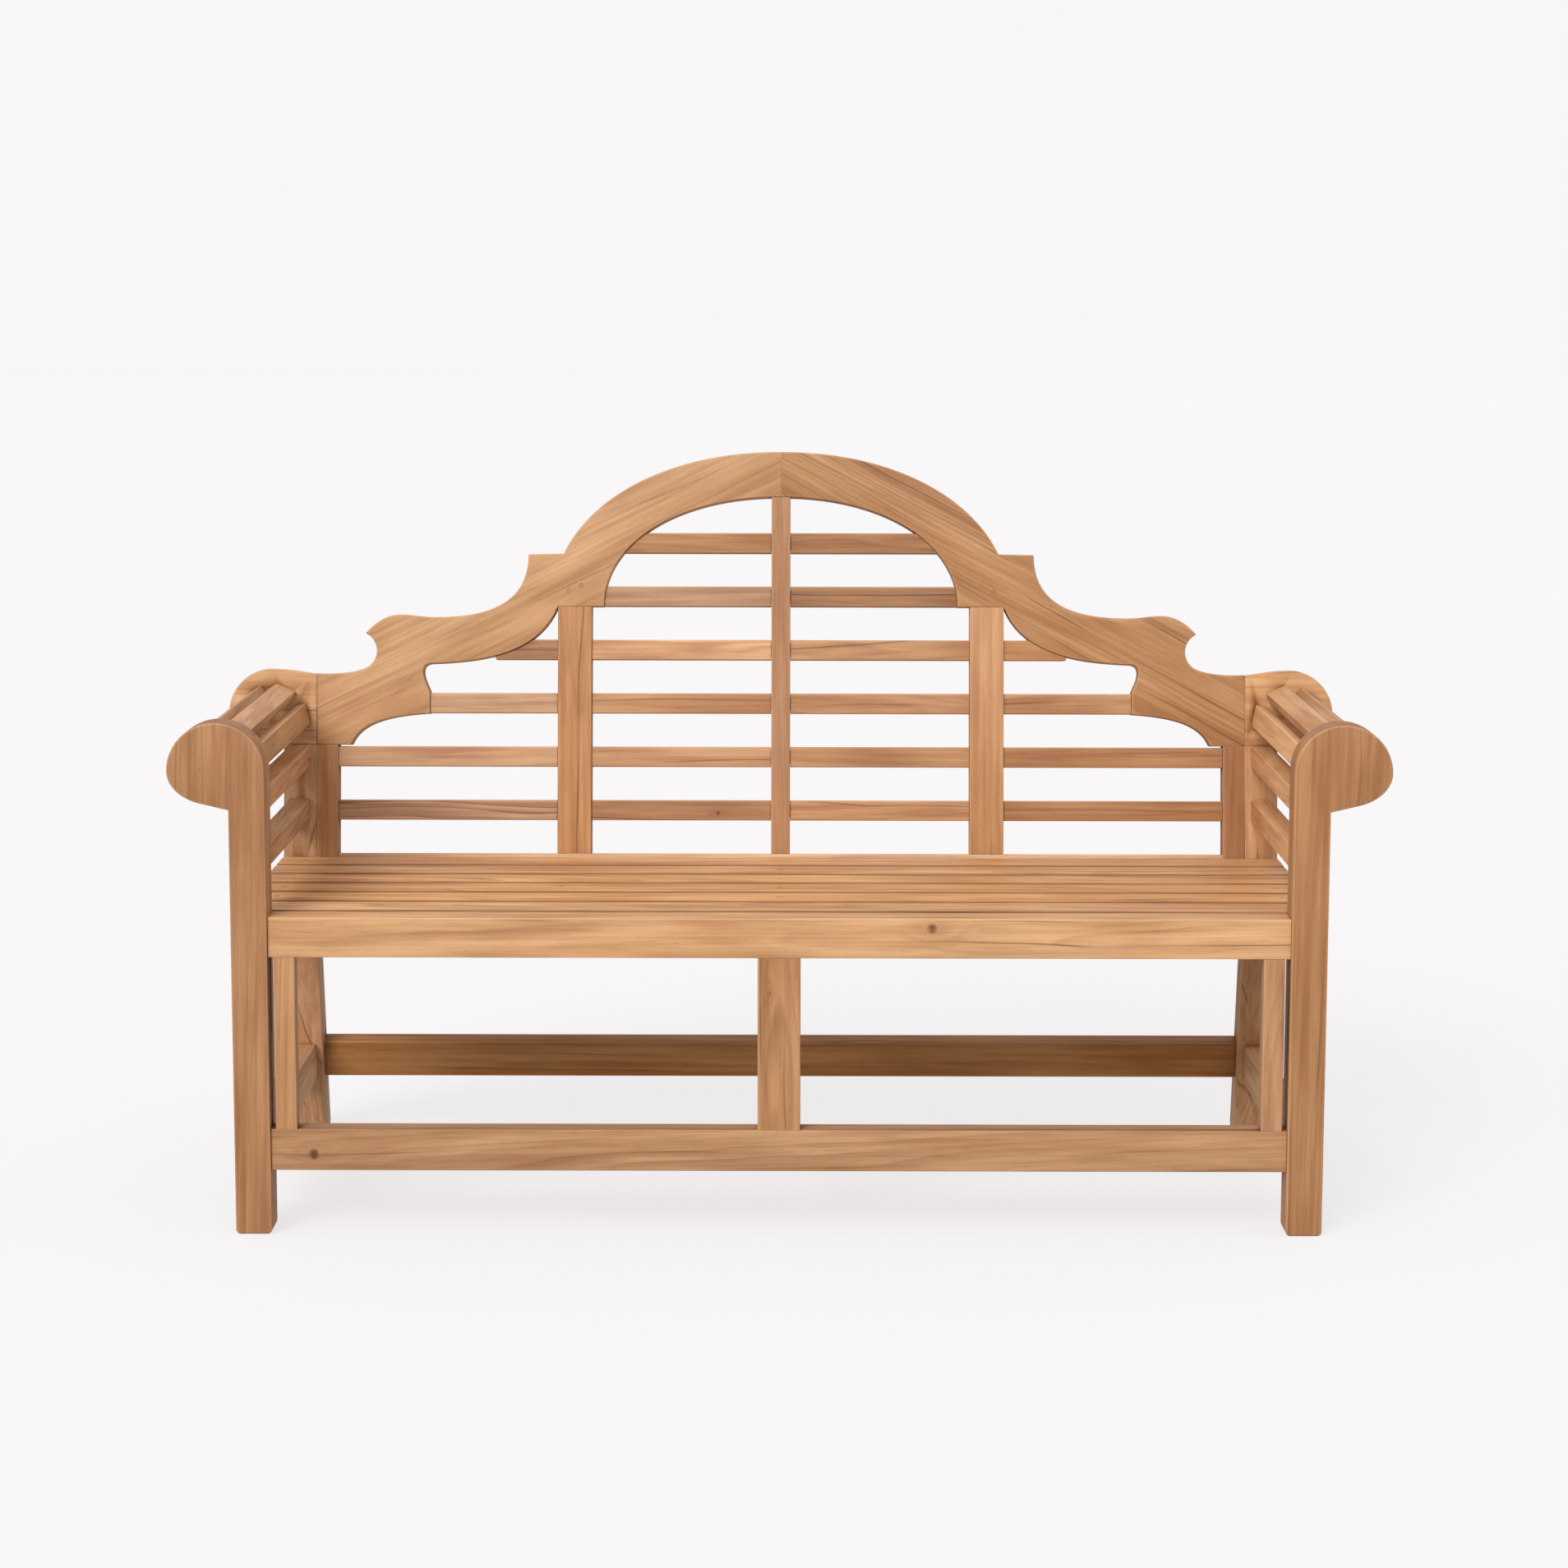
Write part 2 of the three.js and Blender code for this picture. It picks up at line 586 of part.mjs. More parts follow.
function makeOuterStile(side, topRail, bottomRail) {
  const [lowX, highX] = spanX(side, outerStileInner, halfPanel);
  const name = `back_outer_stile_${sideName(side)}`;
  const stile = panelBar(name, teak.panel, [lowX, bottomRailBottom], [highX, rearLegTop]);
  panelJoin(stile, topRail, [lowX + tenonShoulder, rearLegTop - tenonRoot],
    [highX - tenonShoulder, rearLegTop + tenonLength]);
  const [rootX, tipX] = spanX(side, outerStileInner - fitGap - tenonRoot, outerStileInner + tenonLength);
  panelJoin(bottomRail, stile, [rootX, bottomRailBottom + 2 * tenonShoulder],
    [tipX, bottomRailTop - 2 * tenonShoulder]);
  return stile;
}

// An upright between the bottom rail and the top rail, with a tenon at each end.
function makeUpright(name, centre, width, top, topRail, bottomRail) {
  const half = width / 2;
  const bottom = bottomRailTop + fitGap;
  const upright = panelBar(name, teak.panel, [centre - half, bottom], [centre + half, top]);
  const tongue = half - tenonShoulder;
  panelJoin(upright, topRail, [centre - tongue, top - tenonRoot], [centre + tongue, top + tenonLength]);
  panelJoin(upright, bottomRail, [centre - tongue, bottomRailTop - tenonLength],
    [centre + tongue, bottom + tenonRoot]);
  return upright;
}

// A back slat with a tenon at each end; near and far each give a piece and its edge.
function makeBackSlat(row, side, bay, near, far, endX) {
  const bottom = rowBottom(row);
  const top = rowTop(row);
  const [lowX, highX] = spanX(side, near.edge + fitGap, endX);
  const name = `back_slat_${row}_${bay}_${sideName(side)}`;
  const slat = panelBar(name, teak.slat, [lowX, bottom], [highX, top], backSlatSetback, backSlatThickness);
  if (far.tool) {
    cut(slat, far.tool);
  }
  const length = Math.min(slatTenonLength, muntinWidth / 2 - tenonRoot);
  const nearX = spanX(side, near.edge - length, near.edge + fitGap + tenonRoot);
  const farX = spanX(side, far.edge - slatNose, far.edge + length);
  for (const [end, x] of [[near, nearX], [far, farX]]) {
    panelJoin(slat, end.piece, [x[0], bottom + tenonShoulder], [x[1], top - tenonShoulder],
      backSlatSetback, backSlatThickness);
  }
}

// A back slat from an upright to the curved edge of the top rail.
function makeCurvedSlat(row, side, bay, near, rail) {
  const tip = railEdgeX(rail.outline, rowBottom(row) + slatNose, near.edge) + slatNose;
  const middle = (rowBottom(row) + rowTop(row)) / 2;
  const far = { piece: rail.piece, tool: rail.tool, edge: railEdgeX(rail.outline, middle, near.edge) };
  makeBackSlat(row, side, bay, near, far, tip);
}

function makeStraightSlat(row, side, bay, near, far) {
  makeBackSlat(row, side, bay, near, far, far.edge - fitGap);
}

function makeBack() {
  const outline = topRailOutline();
  const solid = plate(outline, panelThickness, behindPanel(panelThickness));
  const topRail = addPiece('back_top_rail', groups.back, teak.panel, solid);
  const toolFrame = behindPanel(panelThickness + overcut);
  const tool = plate(outset(outline, fitGap), panelThickness + 2 * overcut, toolFrame);
  const rail = { piece: topRail, outline, tool };
  const bottomRail = makeBottomRail();
  // The top of the muntin keeps its corners clear of the curve above it.
  const fall = 1 - (1 - (muntinWidth / 2 / crownInnerHalf) ** archExponent) ** (1 / archExponent);
  const muntinTop = archSpring + (archRise - crownDepth) * (1 - fall) - fitGap;
  const muntin = makeUpright('back_muntin', 0, muntinWidth, muntinTop, topRail, bottomRail);
  for (const side of [-1, 1]) {
    const outerStile = makeOuterStile(side, topRail, bottomRail);
    const wideName = `back_wide_stile_${sideName(side)}`;
    const wideStile = makeUpright(wideName, side * wideStileCentre, wideStileWidth, archSpring - fitGap,
      topRail, bottomRail);
    const atMuntin = { piece: muntin, edge: muntinWidth / 2 };
    const atWideInside = { piece: wideStile, edge: wideStileInner };
    const atWideOutside = { piece: wideStile, edge: wideStileOuter };
    const atOuterStile = { piece: outerStile, edge: outerStileInner };
    for (const row of [1, 2]) {
      makeCurvedSlat(row, side, 'inner', atMuntin, rail);
    }
    for (const row of [3, 4, 5, 6]) {
      makeStraightSlat(row, side, 'inner', atMuntin, atWideInside);
    }
    for (const row of [3, 4]) {
      makeCurvedSlat(row, side, 'outer', atWideOutside, rail);
    }
    for (const row of [5, 6]) {
      makeStraightSlat(row, side, 'outer', atWideOutside, atOuterStile);
    }
  }
  return bottomRail;
}

// ---------------------------------------------------------------- front frame and rear stretcher

// A rail between the two legs of a pair, with a tenon in each leg.
function makeCrossRail(name, group, colour, low, high, legs, frame) {
  const rail = addPiece(name, group, colour, bar([-halfPanel, ...low], [halfPanel, ...high], frame));
  const middle = (low[0] + high[0]) / 2;
  for (const side of [-1, 1]) {
    const [rootX, tipX] = spanX(side, halfPanel - tenonRoot, halfInner + longTenonLength);
    join(rail, pieces.get(`${legs}_${sideName(side)}`),
      [rootX, middle - tenonThickness / 2, low[1] + tenonShoulder],
      [tipX, middle + tenonThickness / 2, high[1] - tenonShoulder], frame);
  }
  return rail;
}

function makePost(name, centre, width, depth, rail, stretcher) {
  const low = [centre - width / 2, faceInset, stretcherTop + fitGap];
  const high = [centre + width / 2, faceInset + depth, railBottom - fitGap];
  const post = addPiece(name, groups.front, teak.leg, bar(low, high));
  const middle = faceInset + depth / 2;
  const tongue = [width / 2 - tenonShoulder, tenonThickness / 2];
  join(post, rail, [centre - tongue[0], middle - tongue[1], high[2] - tenonRoot],
    [centre + tongue[0], middle + tongue[1], railBottom + tenonLength]);
  join(post, stretcher, [centre - tongue[0], middle - tongue[1], stretcherTop - tenonLength],
    [centre + tongue[0], middle + tongue[1], low[2] + tenonRoot]);
}

function makeFront() {
  const rail = makeCrossRail('front_seat_rail', groups.front, teak.rail,
    [faceInset, railBottom], [faceInset + railDepth, seatHeight], 'front_leg', worldFrame);
  const stretcher = makeCrossRail('front_stretcher', groups.front, teak.rail,
    [faceInset, stretcherBottom], [faceInset + frontStretcherDepth, stretcherTop], 'front_leg', worldFrame);
  makePost('front_post_middle', 0, middlePostWidth, frontStretcherDepth, rail, stretcher);
  const postCentre = halfInner - sidePostGap - sidePostWidth / 2;
  for (const side of [-1, 1]) {
    const name = `front_post_${sideName(side)}`;
    makePost(name, side * postCentre, sidePostWidth, sidePostWidth, rail, stretcher);
  }
  makeCrossRail('rear_stretcher', groups.rearStretcher, teak.shade, [rearStretcherInset, 0],
    [rearStretcherInset + lightStretcherDepth, stretcherHeight], 'rear_leg', kickFrame);
  return rail;
}

// ---------------------------------------------------------------- seat

// The bearer runs from the front rail to the bottom rail of the back and holds up the slats.
function makeBearer(frontRail, backRail) {
  const half = bearerWidth / 2;
  const top = slatUnderside - fitGap;
  const bottom = top - bearerHeight;
  const bearer = addPiece('seat_bearer', groups.seat, teak.shade,
    bar([-half, railBack + fitGap, bottom], [half, panelFrontY, top]));
  cut(bearer, bar([-bearerWidth, -2 * bearerHeight - railHeight, -panelThickness],
    [bearerWidth, 0, 0], panelFrame, fitGap));
  const tongue = half - 2 * tenonShoulder;
  const frontLow = Math.max(bottom, railBottom) + tenonShoulder;
  // The front tenon stops short of the tenon of the middle post.
  const postStop = faceInset + (frontStretcherDepth + tenonThickness) / 2 + 2 * fitGap;
  join(bearer, frontRail, [-tongue, Math.max(railBack - tenonLength, postStop), frontLow],
    [tongue, railBack + fitGap + tenonRoot, top - tenonShoulder]);
  const backLow = Math.max(bottom, seatHeight + bottomRailBottom * Math.cos(recline)) + 2 * tenonShoulder;
  const backY = rearFaceY((backLow + top) / 2);
  join(bearer, backRail, [-tongue, backY - tenonLength / 2, backLow],
    [tongue, backY + tenonLength, top - tenonShoulder]);
}

// Seat slats lie over the side seat rails, as far as the outside of the legs.
function makeSeatSlats() {
  const reachX = halfInner + legWidth;
  for (let i = 0; i < seatSlatCount; i += 1) {
    const frontY = seatFrontY + i * seatPitch;
    const solid = bar([-reachX, frontY, slatUnderside], [reachX, frontY + seatSlatWidth, seatHeight]);
    addPiece(`seat_slat_${i + 1}`, groups.seat, teak.slat, solid);
  }
}

// ---------------------------------------------------------------- assembly

makeSideFrame(-1);
makeSideFrame(1);
const backRail = makeBack();
const frontRail = makeFront();
makeBearer(frontRail, backRail);
makeSeatSlats();

const bench = new THREE.Group();
for (const [group, frame] of groupFrames) {
  frame.decompose(group.position, group.quaternion, group.scale);
  bench.add(group);
}
for (const { name, group, colour, solid } of pieces.values()) {
  const geometry = toGeometry(solid);
  geometry.applyMatrix4(groupFrames.get(group).clone().invert());
  const material = new THREE.MeshStandardMaterial({ color: colour, roughness: 0.62, metalness: 0 });
  const mesh = new THREE.Mesh(geometry, material);
  mesh.name = name;
  group.add(mesh);
}

// The origin is the middle of the footprint, on the ground.
const extent = new THREE.Box3().setFromObject(bench);
bench.position.y = -(extent.min.y + extent.max.y) / 2;
bench.updateMatrixWorld(true);

export default bench;
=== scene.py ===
# Teak garden bench: the CAD frame dressed as fine sanded, untreated teak.
import json
import math
import random

import bpy
import bmesh
from mathutils import Matrix, Vector
from mathutils.bvhtree import BVHTree


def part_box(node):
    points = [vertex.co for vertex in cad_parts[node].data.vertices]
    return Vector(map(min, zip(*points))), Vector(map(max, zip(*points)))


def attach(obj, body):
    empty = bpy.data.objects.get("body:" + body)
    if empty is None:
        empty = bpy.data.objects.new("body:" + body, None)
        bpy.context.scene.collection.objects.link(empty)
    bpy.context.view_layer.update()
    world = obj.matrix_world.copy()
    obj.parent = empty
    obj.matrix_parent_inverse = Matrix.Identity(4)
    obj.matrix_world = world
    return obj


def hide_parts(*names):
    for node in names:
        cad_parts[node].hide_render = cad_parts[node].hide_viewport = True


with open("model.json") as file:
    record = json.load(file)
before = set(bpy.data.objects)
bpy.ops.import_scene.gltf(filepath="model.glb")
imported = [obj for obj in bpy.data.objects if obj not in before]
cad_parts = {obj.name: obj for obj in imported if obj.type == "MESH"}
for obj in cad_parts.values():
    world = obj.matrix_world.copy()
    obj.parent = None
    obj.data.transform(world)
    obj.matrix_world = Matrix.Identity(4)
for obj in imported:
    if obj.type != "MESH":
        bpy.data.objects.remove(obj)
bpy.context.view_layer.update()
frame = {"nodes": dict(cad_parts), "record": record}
nodes = frame["nodes"]
scene = bpy.context.scene
print("frame loaded:", len(nodes), "pieces")


def srgb(code):
    # hex colour as seen on screen, turned to the linear values that shaders use
    parts = [int(code[i:i + 2], 16) / 255 for i in (1, 3, 5)]
    linear = [c / 12.92 if c <= 0.04045 else ((c + 0.055) / 1.055) ** 2.4 for c in parts]
    return (*linear, 1.0)


def addNode(tree, kind, inputs=None, **settings):
    node = tree.nodes.new(kind)
    for key, value in settings.items():
        setattr(node, key, value)
    for key, value in (inputs or {}).items():
        if isinstance(value, bpy.types.NodeSocket):
            tree.links.new(value, node.inputs[key])
        else:
            node.inputs[key].default_value = value
    return node


def centreOf(node):
    low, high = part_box(node)
    return (low + high) / 2


view = {
    "place": (0.01502, -5.18698, 1.3046),
    "pitch": 8.009,      # degrees down
    "yaw": 0.105,
    "roll": 0.104,
    "lens": 84.23,       # mm on a 36 mm sensor
}


def placeCamera():
    data = bpy.data.cameras.new("camera")
    data.sensor_width = 36
    data.lens = view["lens"]
    data.clip_start = 0.1
    data.clip_end = 100
    camera = bpy.data.objects.new("camera", data)
    scene.collection.objects.link(camera)
    turn = Matrix.Rotation(math.radians(view["yaw"]), 4, "Z")
    tilt = Matrix.Rotation(math.radians(90 - view["pitch"]), 4, "X")
    roll = Matrix.Rotation(math.radians(view["roll"]), 4, "Z")
    camera.matrix_world = Matrix.Translation(view["place"]) @ turn @ tilt @ roll
    scene.camera = camera


light = {
    "backdrop": "#F8F6F7",
    "skyTint": (1.0, 0.995, 0.985),
    "skyStrength": 0.8,
    "groundStrength": 0.5,
    "sunTint": (1.0, 0.985, 0.965),
    "sunStrength": 2.1,
    "sunFrom": (-0.5, -1.0, 0.72),   # from the left, in front and above
    "sunSpread": 30,                 # degrees, a large soft box
    "floorShadow": 0.24,             # how much of the floor's brightness a shadow can take
    "floorReflect": (0.86, 0.85, 0.87),
    "floorReach": 40,                # metres each way
}


def lightStudio():
    world = bpy.data.worlds.new("studio")
    scene.world = world
    world.use_nodes = True
    tree = world.node_tree
    tree.nodes.clear()
    direction = addNode(tree, "ShaderNodeTexCoord").outputs["Generated"]
    height = addNode(tree, "ShaderNodeSeparateXYZ", {0: direction}).outputs["Z"]
    rise = addNode(tree, "ShaderNodeMapRange",
                   {"Value": height, "From Min": -0.15, "From Max": 0.5,
                    "To Min": light["groundStrength"], "To Max": light["skyStrength"]}).outputs[0]
    soft = addNode(tree, "ShaderNodeBackground", {"Color": (*light["skyTint"], 1), "Strength": rise})
    plain = addNode(tree, "ShaderNodeBackground", {"Color": srgb(light["backdrop"]), "Strength": 1.0})
    seen = addNode(tree, "ShaderNodeLightPath").outputs["Is Camera Ray"]
    mix = addNode(tree, "ShaderNodeMixShader", {0: seen, 1: soft.outputs[0], 2: plain.outputs[0]})
    addNode(tree, "ShaderNodeOutputWorld", {"Surface": mix.outputs[0]})

    data = bpy.data.lights.new("softbox", "SUN")
    data.energy = light["sunStrength"]
    data.angle = math.radians(light["sunSpread"])
    data.color = light["sunTint"]
    lamp = bpy.data.objects.new("softbox", data)
    lamp.rotation_mode = "QUATERNION"
    lamp.rotation_quaternion = Vector(light["sunFrom"]).to_track_quat("Z", "Y")
    scene.collection.objects.link(lamp)


def layFloor():
    # matt painted studio floor with a glow of its own, which keeps the shadows on it faint
    mesh = bpy.data.meshes.new("floor")
    reach = light["floorReach"]
    corners = [(-reach, -reach, 0), (reach, -reach, 0), (reach, reach, 0), (-reach, reach, 0)]
    mesh.from_pydata(corners, [], [(0, 1, 2, 3)])
    floor = bpy.data.objects.new("floor", mesh)
    scene.collection.objects.link(floor)
    material = bpy.data.materials.new("mattPaintedFloor")
    material.use_nodes = True
    tree = material.node_tree
    tree.nodes.clear()
    paint = addNode(tree, "ShaderNodeBsdfDiffuse", {"Color": (*light["floorReflect"], 1)})
    glow = addNode(tree, "ShaderNodeEmission", {"Color": srgb(light["backdrop"]), "Strength": 1.0})
    mix = addNode(tree, "ShaderNodeMixShader",
                  {0: light["floorShadow"], 1: glow.outputs[0], 2: paint.outputs[0]})
    addNode(tree, "ShaderNodeOutputMaterial", {"Surface": mix.outputs[0]})
    mesh.materials.append(material)
    floor.visible_diffuse = False   # its bounce light is in the world's lower half
    floor.visible_glossy = False


placeCamera()
lightStudio()
layFloor()
scene.view_settings.view_transform = "Standard"
print("camera, light and floor ready")


# Untreated plantation teak, planed and fine sanded: a dry matt honey brown with darker growth
# rings, long streaks of colour and short dark pores that run with the grain.
teakLooks = {
    "teak_uprights": {"light": "#D09B6E", "deep": "#B27C51", "ring": "#8C5B39", "vein": "#6B432A"},
    "teak_rails": {"light": "#D8A676", "deep": "#B88456", "ring": "#96643F", "vein": "#6B432A"},
    "teak_slats": {"light": "#D8A676", "deep": "#B67F53", "ring": "#8F5D3A", "vein": "#64402A"},
}
# lengths along and across the grain are in metres
teakGrain = {
    "clouds": (0.22, 0.03),      # soft clouds of colour
    "streaks": (0.4, 0.007),
    "streakShare": 0.4,          # how much of the ground colour is streaks
    "ground": (0.38, 0.62),      # narrower gives more contrast between light and deep wood
    "fibres": (0.08, 0.0018),    # fibres are 0.1 mm wide, drawn wider so that they show
    "fibreShade": (0.93, 1.07),
    "pores": (0.016, 0.0012),    # pores are 0.3 mm wide, drawn wider so that they show
    "poreSpots": (0.66, 0.74),
    "poreDark": 0.25,
}
teakRings = {
    "width": 0.0068,             # 4 to 8 mm on plantation teak
    "wander": 0.022,             # how far the rings leave a true circle
    "wanderOver": (0.45, 0.07),
    "swirl": 0.013,              # how far a knot pushes the rings aside
    "uneven": 1.6,               # difference between wide and narrow years
    "unevenOver": 0.45,
    "lateWood": ((0.4, 0.1), (0.8, 0.6), (0.9, 1.0)),    # share of the year, darkness
    "patches": (0.5, 0.05),      # rings come and go along the board
    "patchSpan": (0.4, 0.68),
    "patchShow": (0.06, 0.6),
}
teakVeins = {
    "apart": 0.031,              # distance between the thin dark veins
    "slant": (0, 1, 0.6),        # they lie across the board, a little through it
    "wave": (0.55, 0.09),
    "waving": 1.5,
    "thickness": 0.055,          # share of the distance between two veins
    "breaks": (0.3, 0.02),
    "breakSpan": (0.46, 0.6),
    "strongest": 0.75,
}
teakKnots = {
    "reach": (0.2, 0.5, 0.5),    # the swirl is longer with the grain
    "fall": -0.45,
    "ragged": 1.6,
    "heartSpan": (3.0, 1.7),
    "heartShare": 0.92,
    "heart": "#4A2C1A",
    "haloShare": 0.3,
    "halo": "#9A6036",
}
teakWearAndShade = {
    "redder": (0.025, 0.4795),   # darker heartwood is redder, lighter wood more golden
    "mostGolden": 0.5015,
    "endShare": 0.5,             # end grain soaks up light
    "end": "#8A5A38",
    "rubShare": 0.22,            # eased edges are rubbed paler, and partly carry a painted highlight
    "rub": "#E2B486",
    # painted shade: hollows found by occlusion are painted darker at the joints and inner corners
    "creviceDepth": 0.01,
    "creviceSpan": (0.15, 0.75),
    "creviceDark": 0.42,
    "dustShare": 0.62,           # painted shade on the seat slats' faces across the gaps
    "dust": "#4E301D",
}
teakSurface = {
    "roughness": (0.52, 0.64),
    "poreRough": 0.4,
    "ringRidge": 0.5,
    "poreDepth": -1.4,
    "bumpStrength": 0.55,
    "bumpDepth": 0.0003,
    "ior": 1.5,
    "specular": 0.35,
}


def maths(tree, operation, *values):
    return addNode(tree, "ShaderNodeMath", dict(enumerate(values)), operation=operation).outputs[0]


def spread(tree, value, span, result=(0.0, 1.0), **settings):
    # maps one range of values to another
    limits = {"Value": value, "From Min": span[0], "From Max": span[1],
              "To Min": result[0], "To Max": result[1]}
    return addNode(tree, "ShaderNodeMapRange", limits, **settings).outputs[0]


def painted(tree, share, under, code):
    # a colour laid over another
    inputs = {0: share, 6: under, 7: srgb(code)}
    return addNode(tree, "ShaderNodeMix", inputs, data_type="RGBA").outputs[2]


def stretched(tree, place, size, detail, roughness=0.55):
    # a noise that is long with the grain and narrow across it
    along, across = size
    scale = (1 / along, 1 / across, 1 / across)
    spot = addNode(tree, "ShaderNodeVectorMath", {0: place, 1: scale}, operation="MULTIPLY").outputs[0]
    noise = addNode(tree, "ShaderNodeTexNoise",
                    {"Vector": spot, "Scale": 1.0, "Detail": detail, "Roughness": roughness})
    return noise.outputs["Fac"]


def boardValue(tree, name, output="Fac"):
    return addNode(tree, "ShaderNodeAttribute", attribute_name=name).outputs[output]


def knotSwirl(tree, knotPlace):
    # 1 at the heart of a knot, falling to 0 around it
    near = addNode(tree, "ShaderNodeVectorMath", {0: knotPlace, 1: teakKnots["reach"]},
                   operation="MULTIPLY").outputs[0]
    far = addNode(tree, "ShaderNodeVectorMath", {0: near, 1: near}, operation="DOT_PRODUCT").outputs["Value"]
    return maths(tree, "EXPONENT", maths(tree, "MULTIPLY", far, teakKnots["fall"]))


def growthRings(tree, place, swirl, strength):
    # rings round the heart of the tree, which lies along the first axis of the board
    rings = teakRings
    outward = addNode(tree, "ShaderNodeVectorMath", {0: place, 1: (0, 1, 1)}, operation="MULTIPLY").outputs[0]
    radius = addNode(tree, "ShaderNodeVectorMath", {0: outward}, operation="LENGTH").outputs["Value"]
    wander = stretched(tree, place, rings["wanderOver"], 2.0)
    shift = maths(tree, "MULTIPLY_ADD", wander, rings["wander"], radius)
    swirled = maths(tree, "MULTIPLY_ADD", swirl, rings["swirl"], shift)
    years = maths(tree, "DIVIDE", swirled, rings["width"])
    uneven = addNode(tree, "ShaderNodeTexNoise", {"W": years, "Scale": rings["unevenOver"], "Detail": 1.0},
                     noise_dimensions="1D").outputs["Fac"]
    phase = maths(tree, "FRACT", maths(tree, "MULTIPLY_ADD", uneven, rings["uneven"], years))
    lateWood = addNode(tree, "ShaderNodeValToRGB", {"Fac": phase})
    ramp = lateWood.color_ramp
    ramp.elements[0].color = (0, 0, 0, 1)
    ramp.elements[1].color = (0, 0, 0, 1)
    for spot, value in rings["lateWood"]:
        stop = ramp.elements.new(spot)
        stop.color = (value, value, value, 1)
    patches = stretched(tree, place, rings["patches"], 2.0)
    patchy = spread(tree, patches, rings["patchSpan"], rings["patchShow"])
    figure = maths(tree, "MULTIPLY", patchy, strength)
    return maths(tree, "MULTIPLY", lateWood.outputs[0], figure)


def darkVeins(tree, place, strength):
    # thin dark lines that wave along the board and break off here and there
    veins = teakVeins
    drift = stretched(tree, place, veins["wave"], 2.5, 0.5)
    slant = addNode(tree, "ShaderNodeVectorMath", {0: place, 1: veins["slant"]},
                    operation="DOT_PRODUCT").outputs["Value"]
    rows = maths(tree, "DIVIDE", slant, veins["apart"])
    side = maths(tree, "PINGPONG", maths(tree, "MULTIPLY_ADD", drift, veins["waving"], rows), 0.5)
    line = spread(tree, side, (0.0, veins["thickness"]), (1.0, 0.0))
    breaks = stretched(tree, place, veins["breaks"], 1.0)
    show = spread(tree, breaks, veins["breakSpan"], (0.0, veins["strongest"]))
    return maths(tree, "MULTIPLY", maths(tree, "MULTIPLY", line, show), strength)


def withKnots(tree, colour, knotPlace, swirl):
    # a dark ragged heart with a reddish rim
    ragged = addNode(tree, "ShaderNodeTexNoise", {"Vector": knotPlace, "Scale": 0.9, "Detail": 2.0})
    length = addNode(tree, "ShaderNodeVectorMath", {0: knotPlace}, operation="LENGTH").outputs["Value"]
    edge = maths(tree, "MULTIPLY_ADD", ragged.outputs["Fac"], teakKnots["ragged"], length)
    heart = spread(tree, edge, teakKnots["heartSpan"], (0.0, teakKnots["heartShare"]),
                   interpolation_type="SMOOTHSTEP")
    hearted = painted(tree, heart, colour, teakKnots["heart"])
    return painted(tree, maths(tree, "MULTIPLY", swirl, teakKnots["haloShare"]), hearted, teakKnots["halo"])


def withTone(tree, colour, tone, fibreShade):
    # each board's own lightness and depth of colour
    redder = maths(tree, "MULTIPLY_ADD", tone["X"], *teakWearAndShade["redder"])
    hue = maths(tree, "MINIMUM", redder, teakWearAndShade["mostGolden"])
    value = maths(tree, "MULTIPLY", tone["X"], fibreShade)
    return addNode(tree, "ShaderNodeHueSaturation",
                   {"Hue": hue, "Saturation": tone["Y"], "Value": value, "Color": colour}).outputs[0]


def withWearAndShade(tree, colour):
    # darker end grain, paler rubbed edges that also carry a painted highlight, and painted shade in the
    # joints and gaps
    wearAndShade = teakWearAndShade
    ended = maths(tree, "MULTIPLY", boardValue(tree, "endGrain"), wearAndShade["endShare"])
    # rubbed edges paler, partly wear and partly a painted highlight
    rubbedAndLit = maths(tree, "MULTIPLY", boardValue(tree, "easedEdge"), wearAndShade["rubShare"])
    wornAndLit = painted(tree, rubbedAndLit, painted(tree, ended, colour, wearAndShade["end"]), wearAndShade["rub"])
    # painted shade, darker where the occlusion finds hollows and joints
    openness = addNode(tree, "ShaderNodeAmbientOcclusion", {"Distance": wearAndShade["creviceDepth"]},
                       samples=4).outputs["AO"]
    creviceShade = spread(tree, openness, wearAndShade["creviceSpan"], (wearAndShade["creviceDark"], 0.0))
    # painted shade on the seat slats' faces across the gaps and on their rounded edges
    gapShaded = maths(tree, "MULTIPLY", boardValue(tree, "inGap"), wearAndShade["dustShare"])
    return painted(tree, maths(tree, "MAXIMUM", creviceShade, gapShaded), wornAndLit, wearAndShade["dust"])


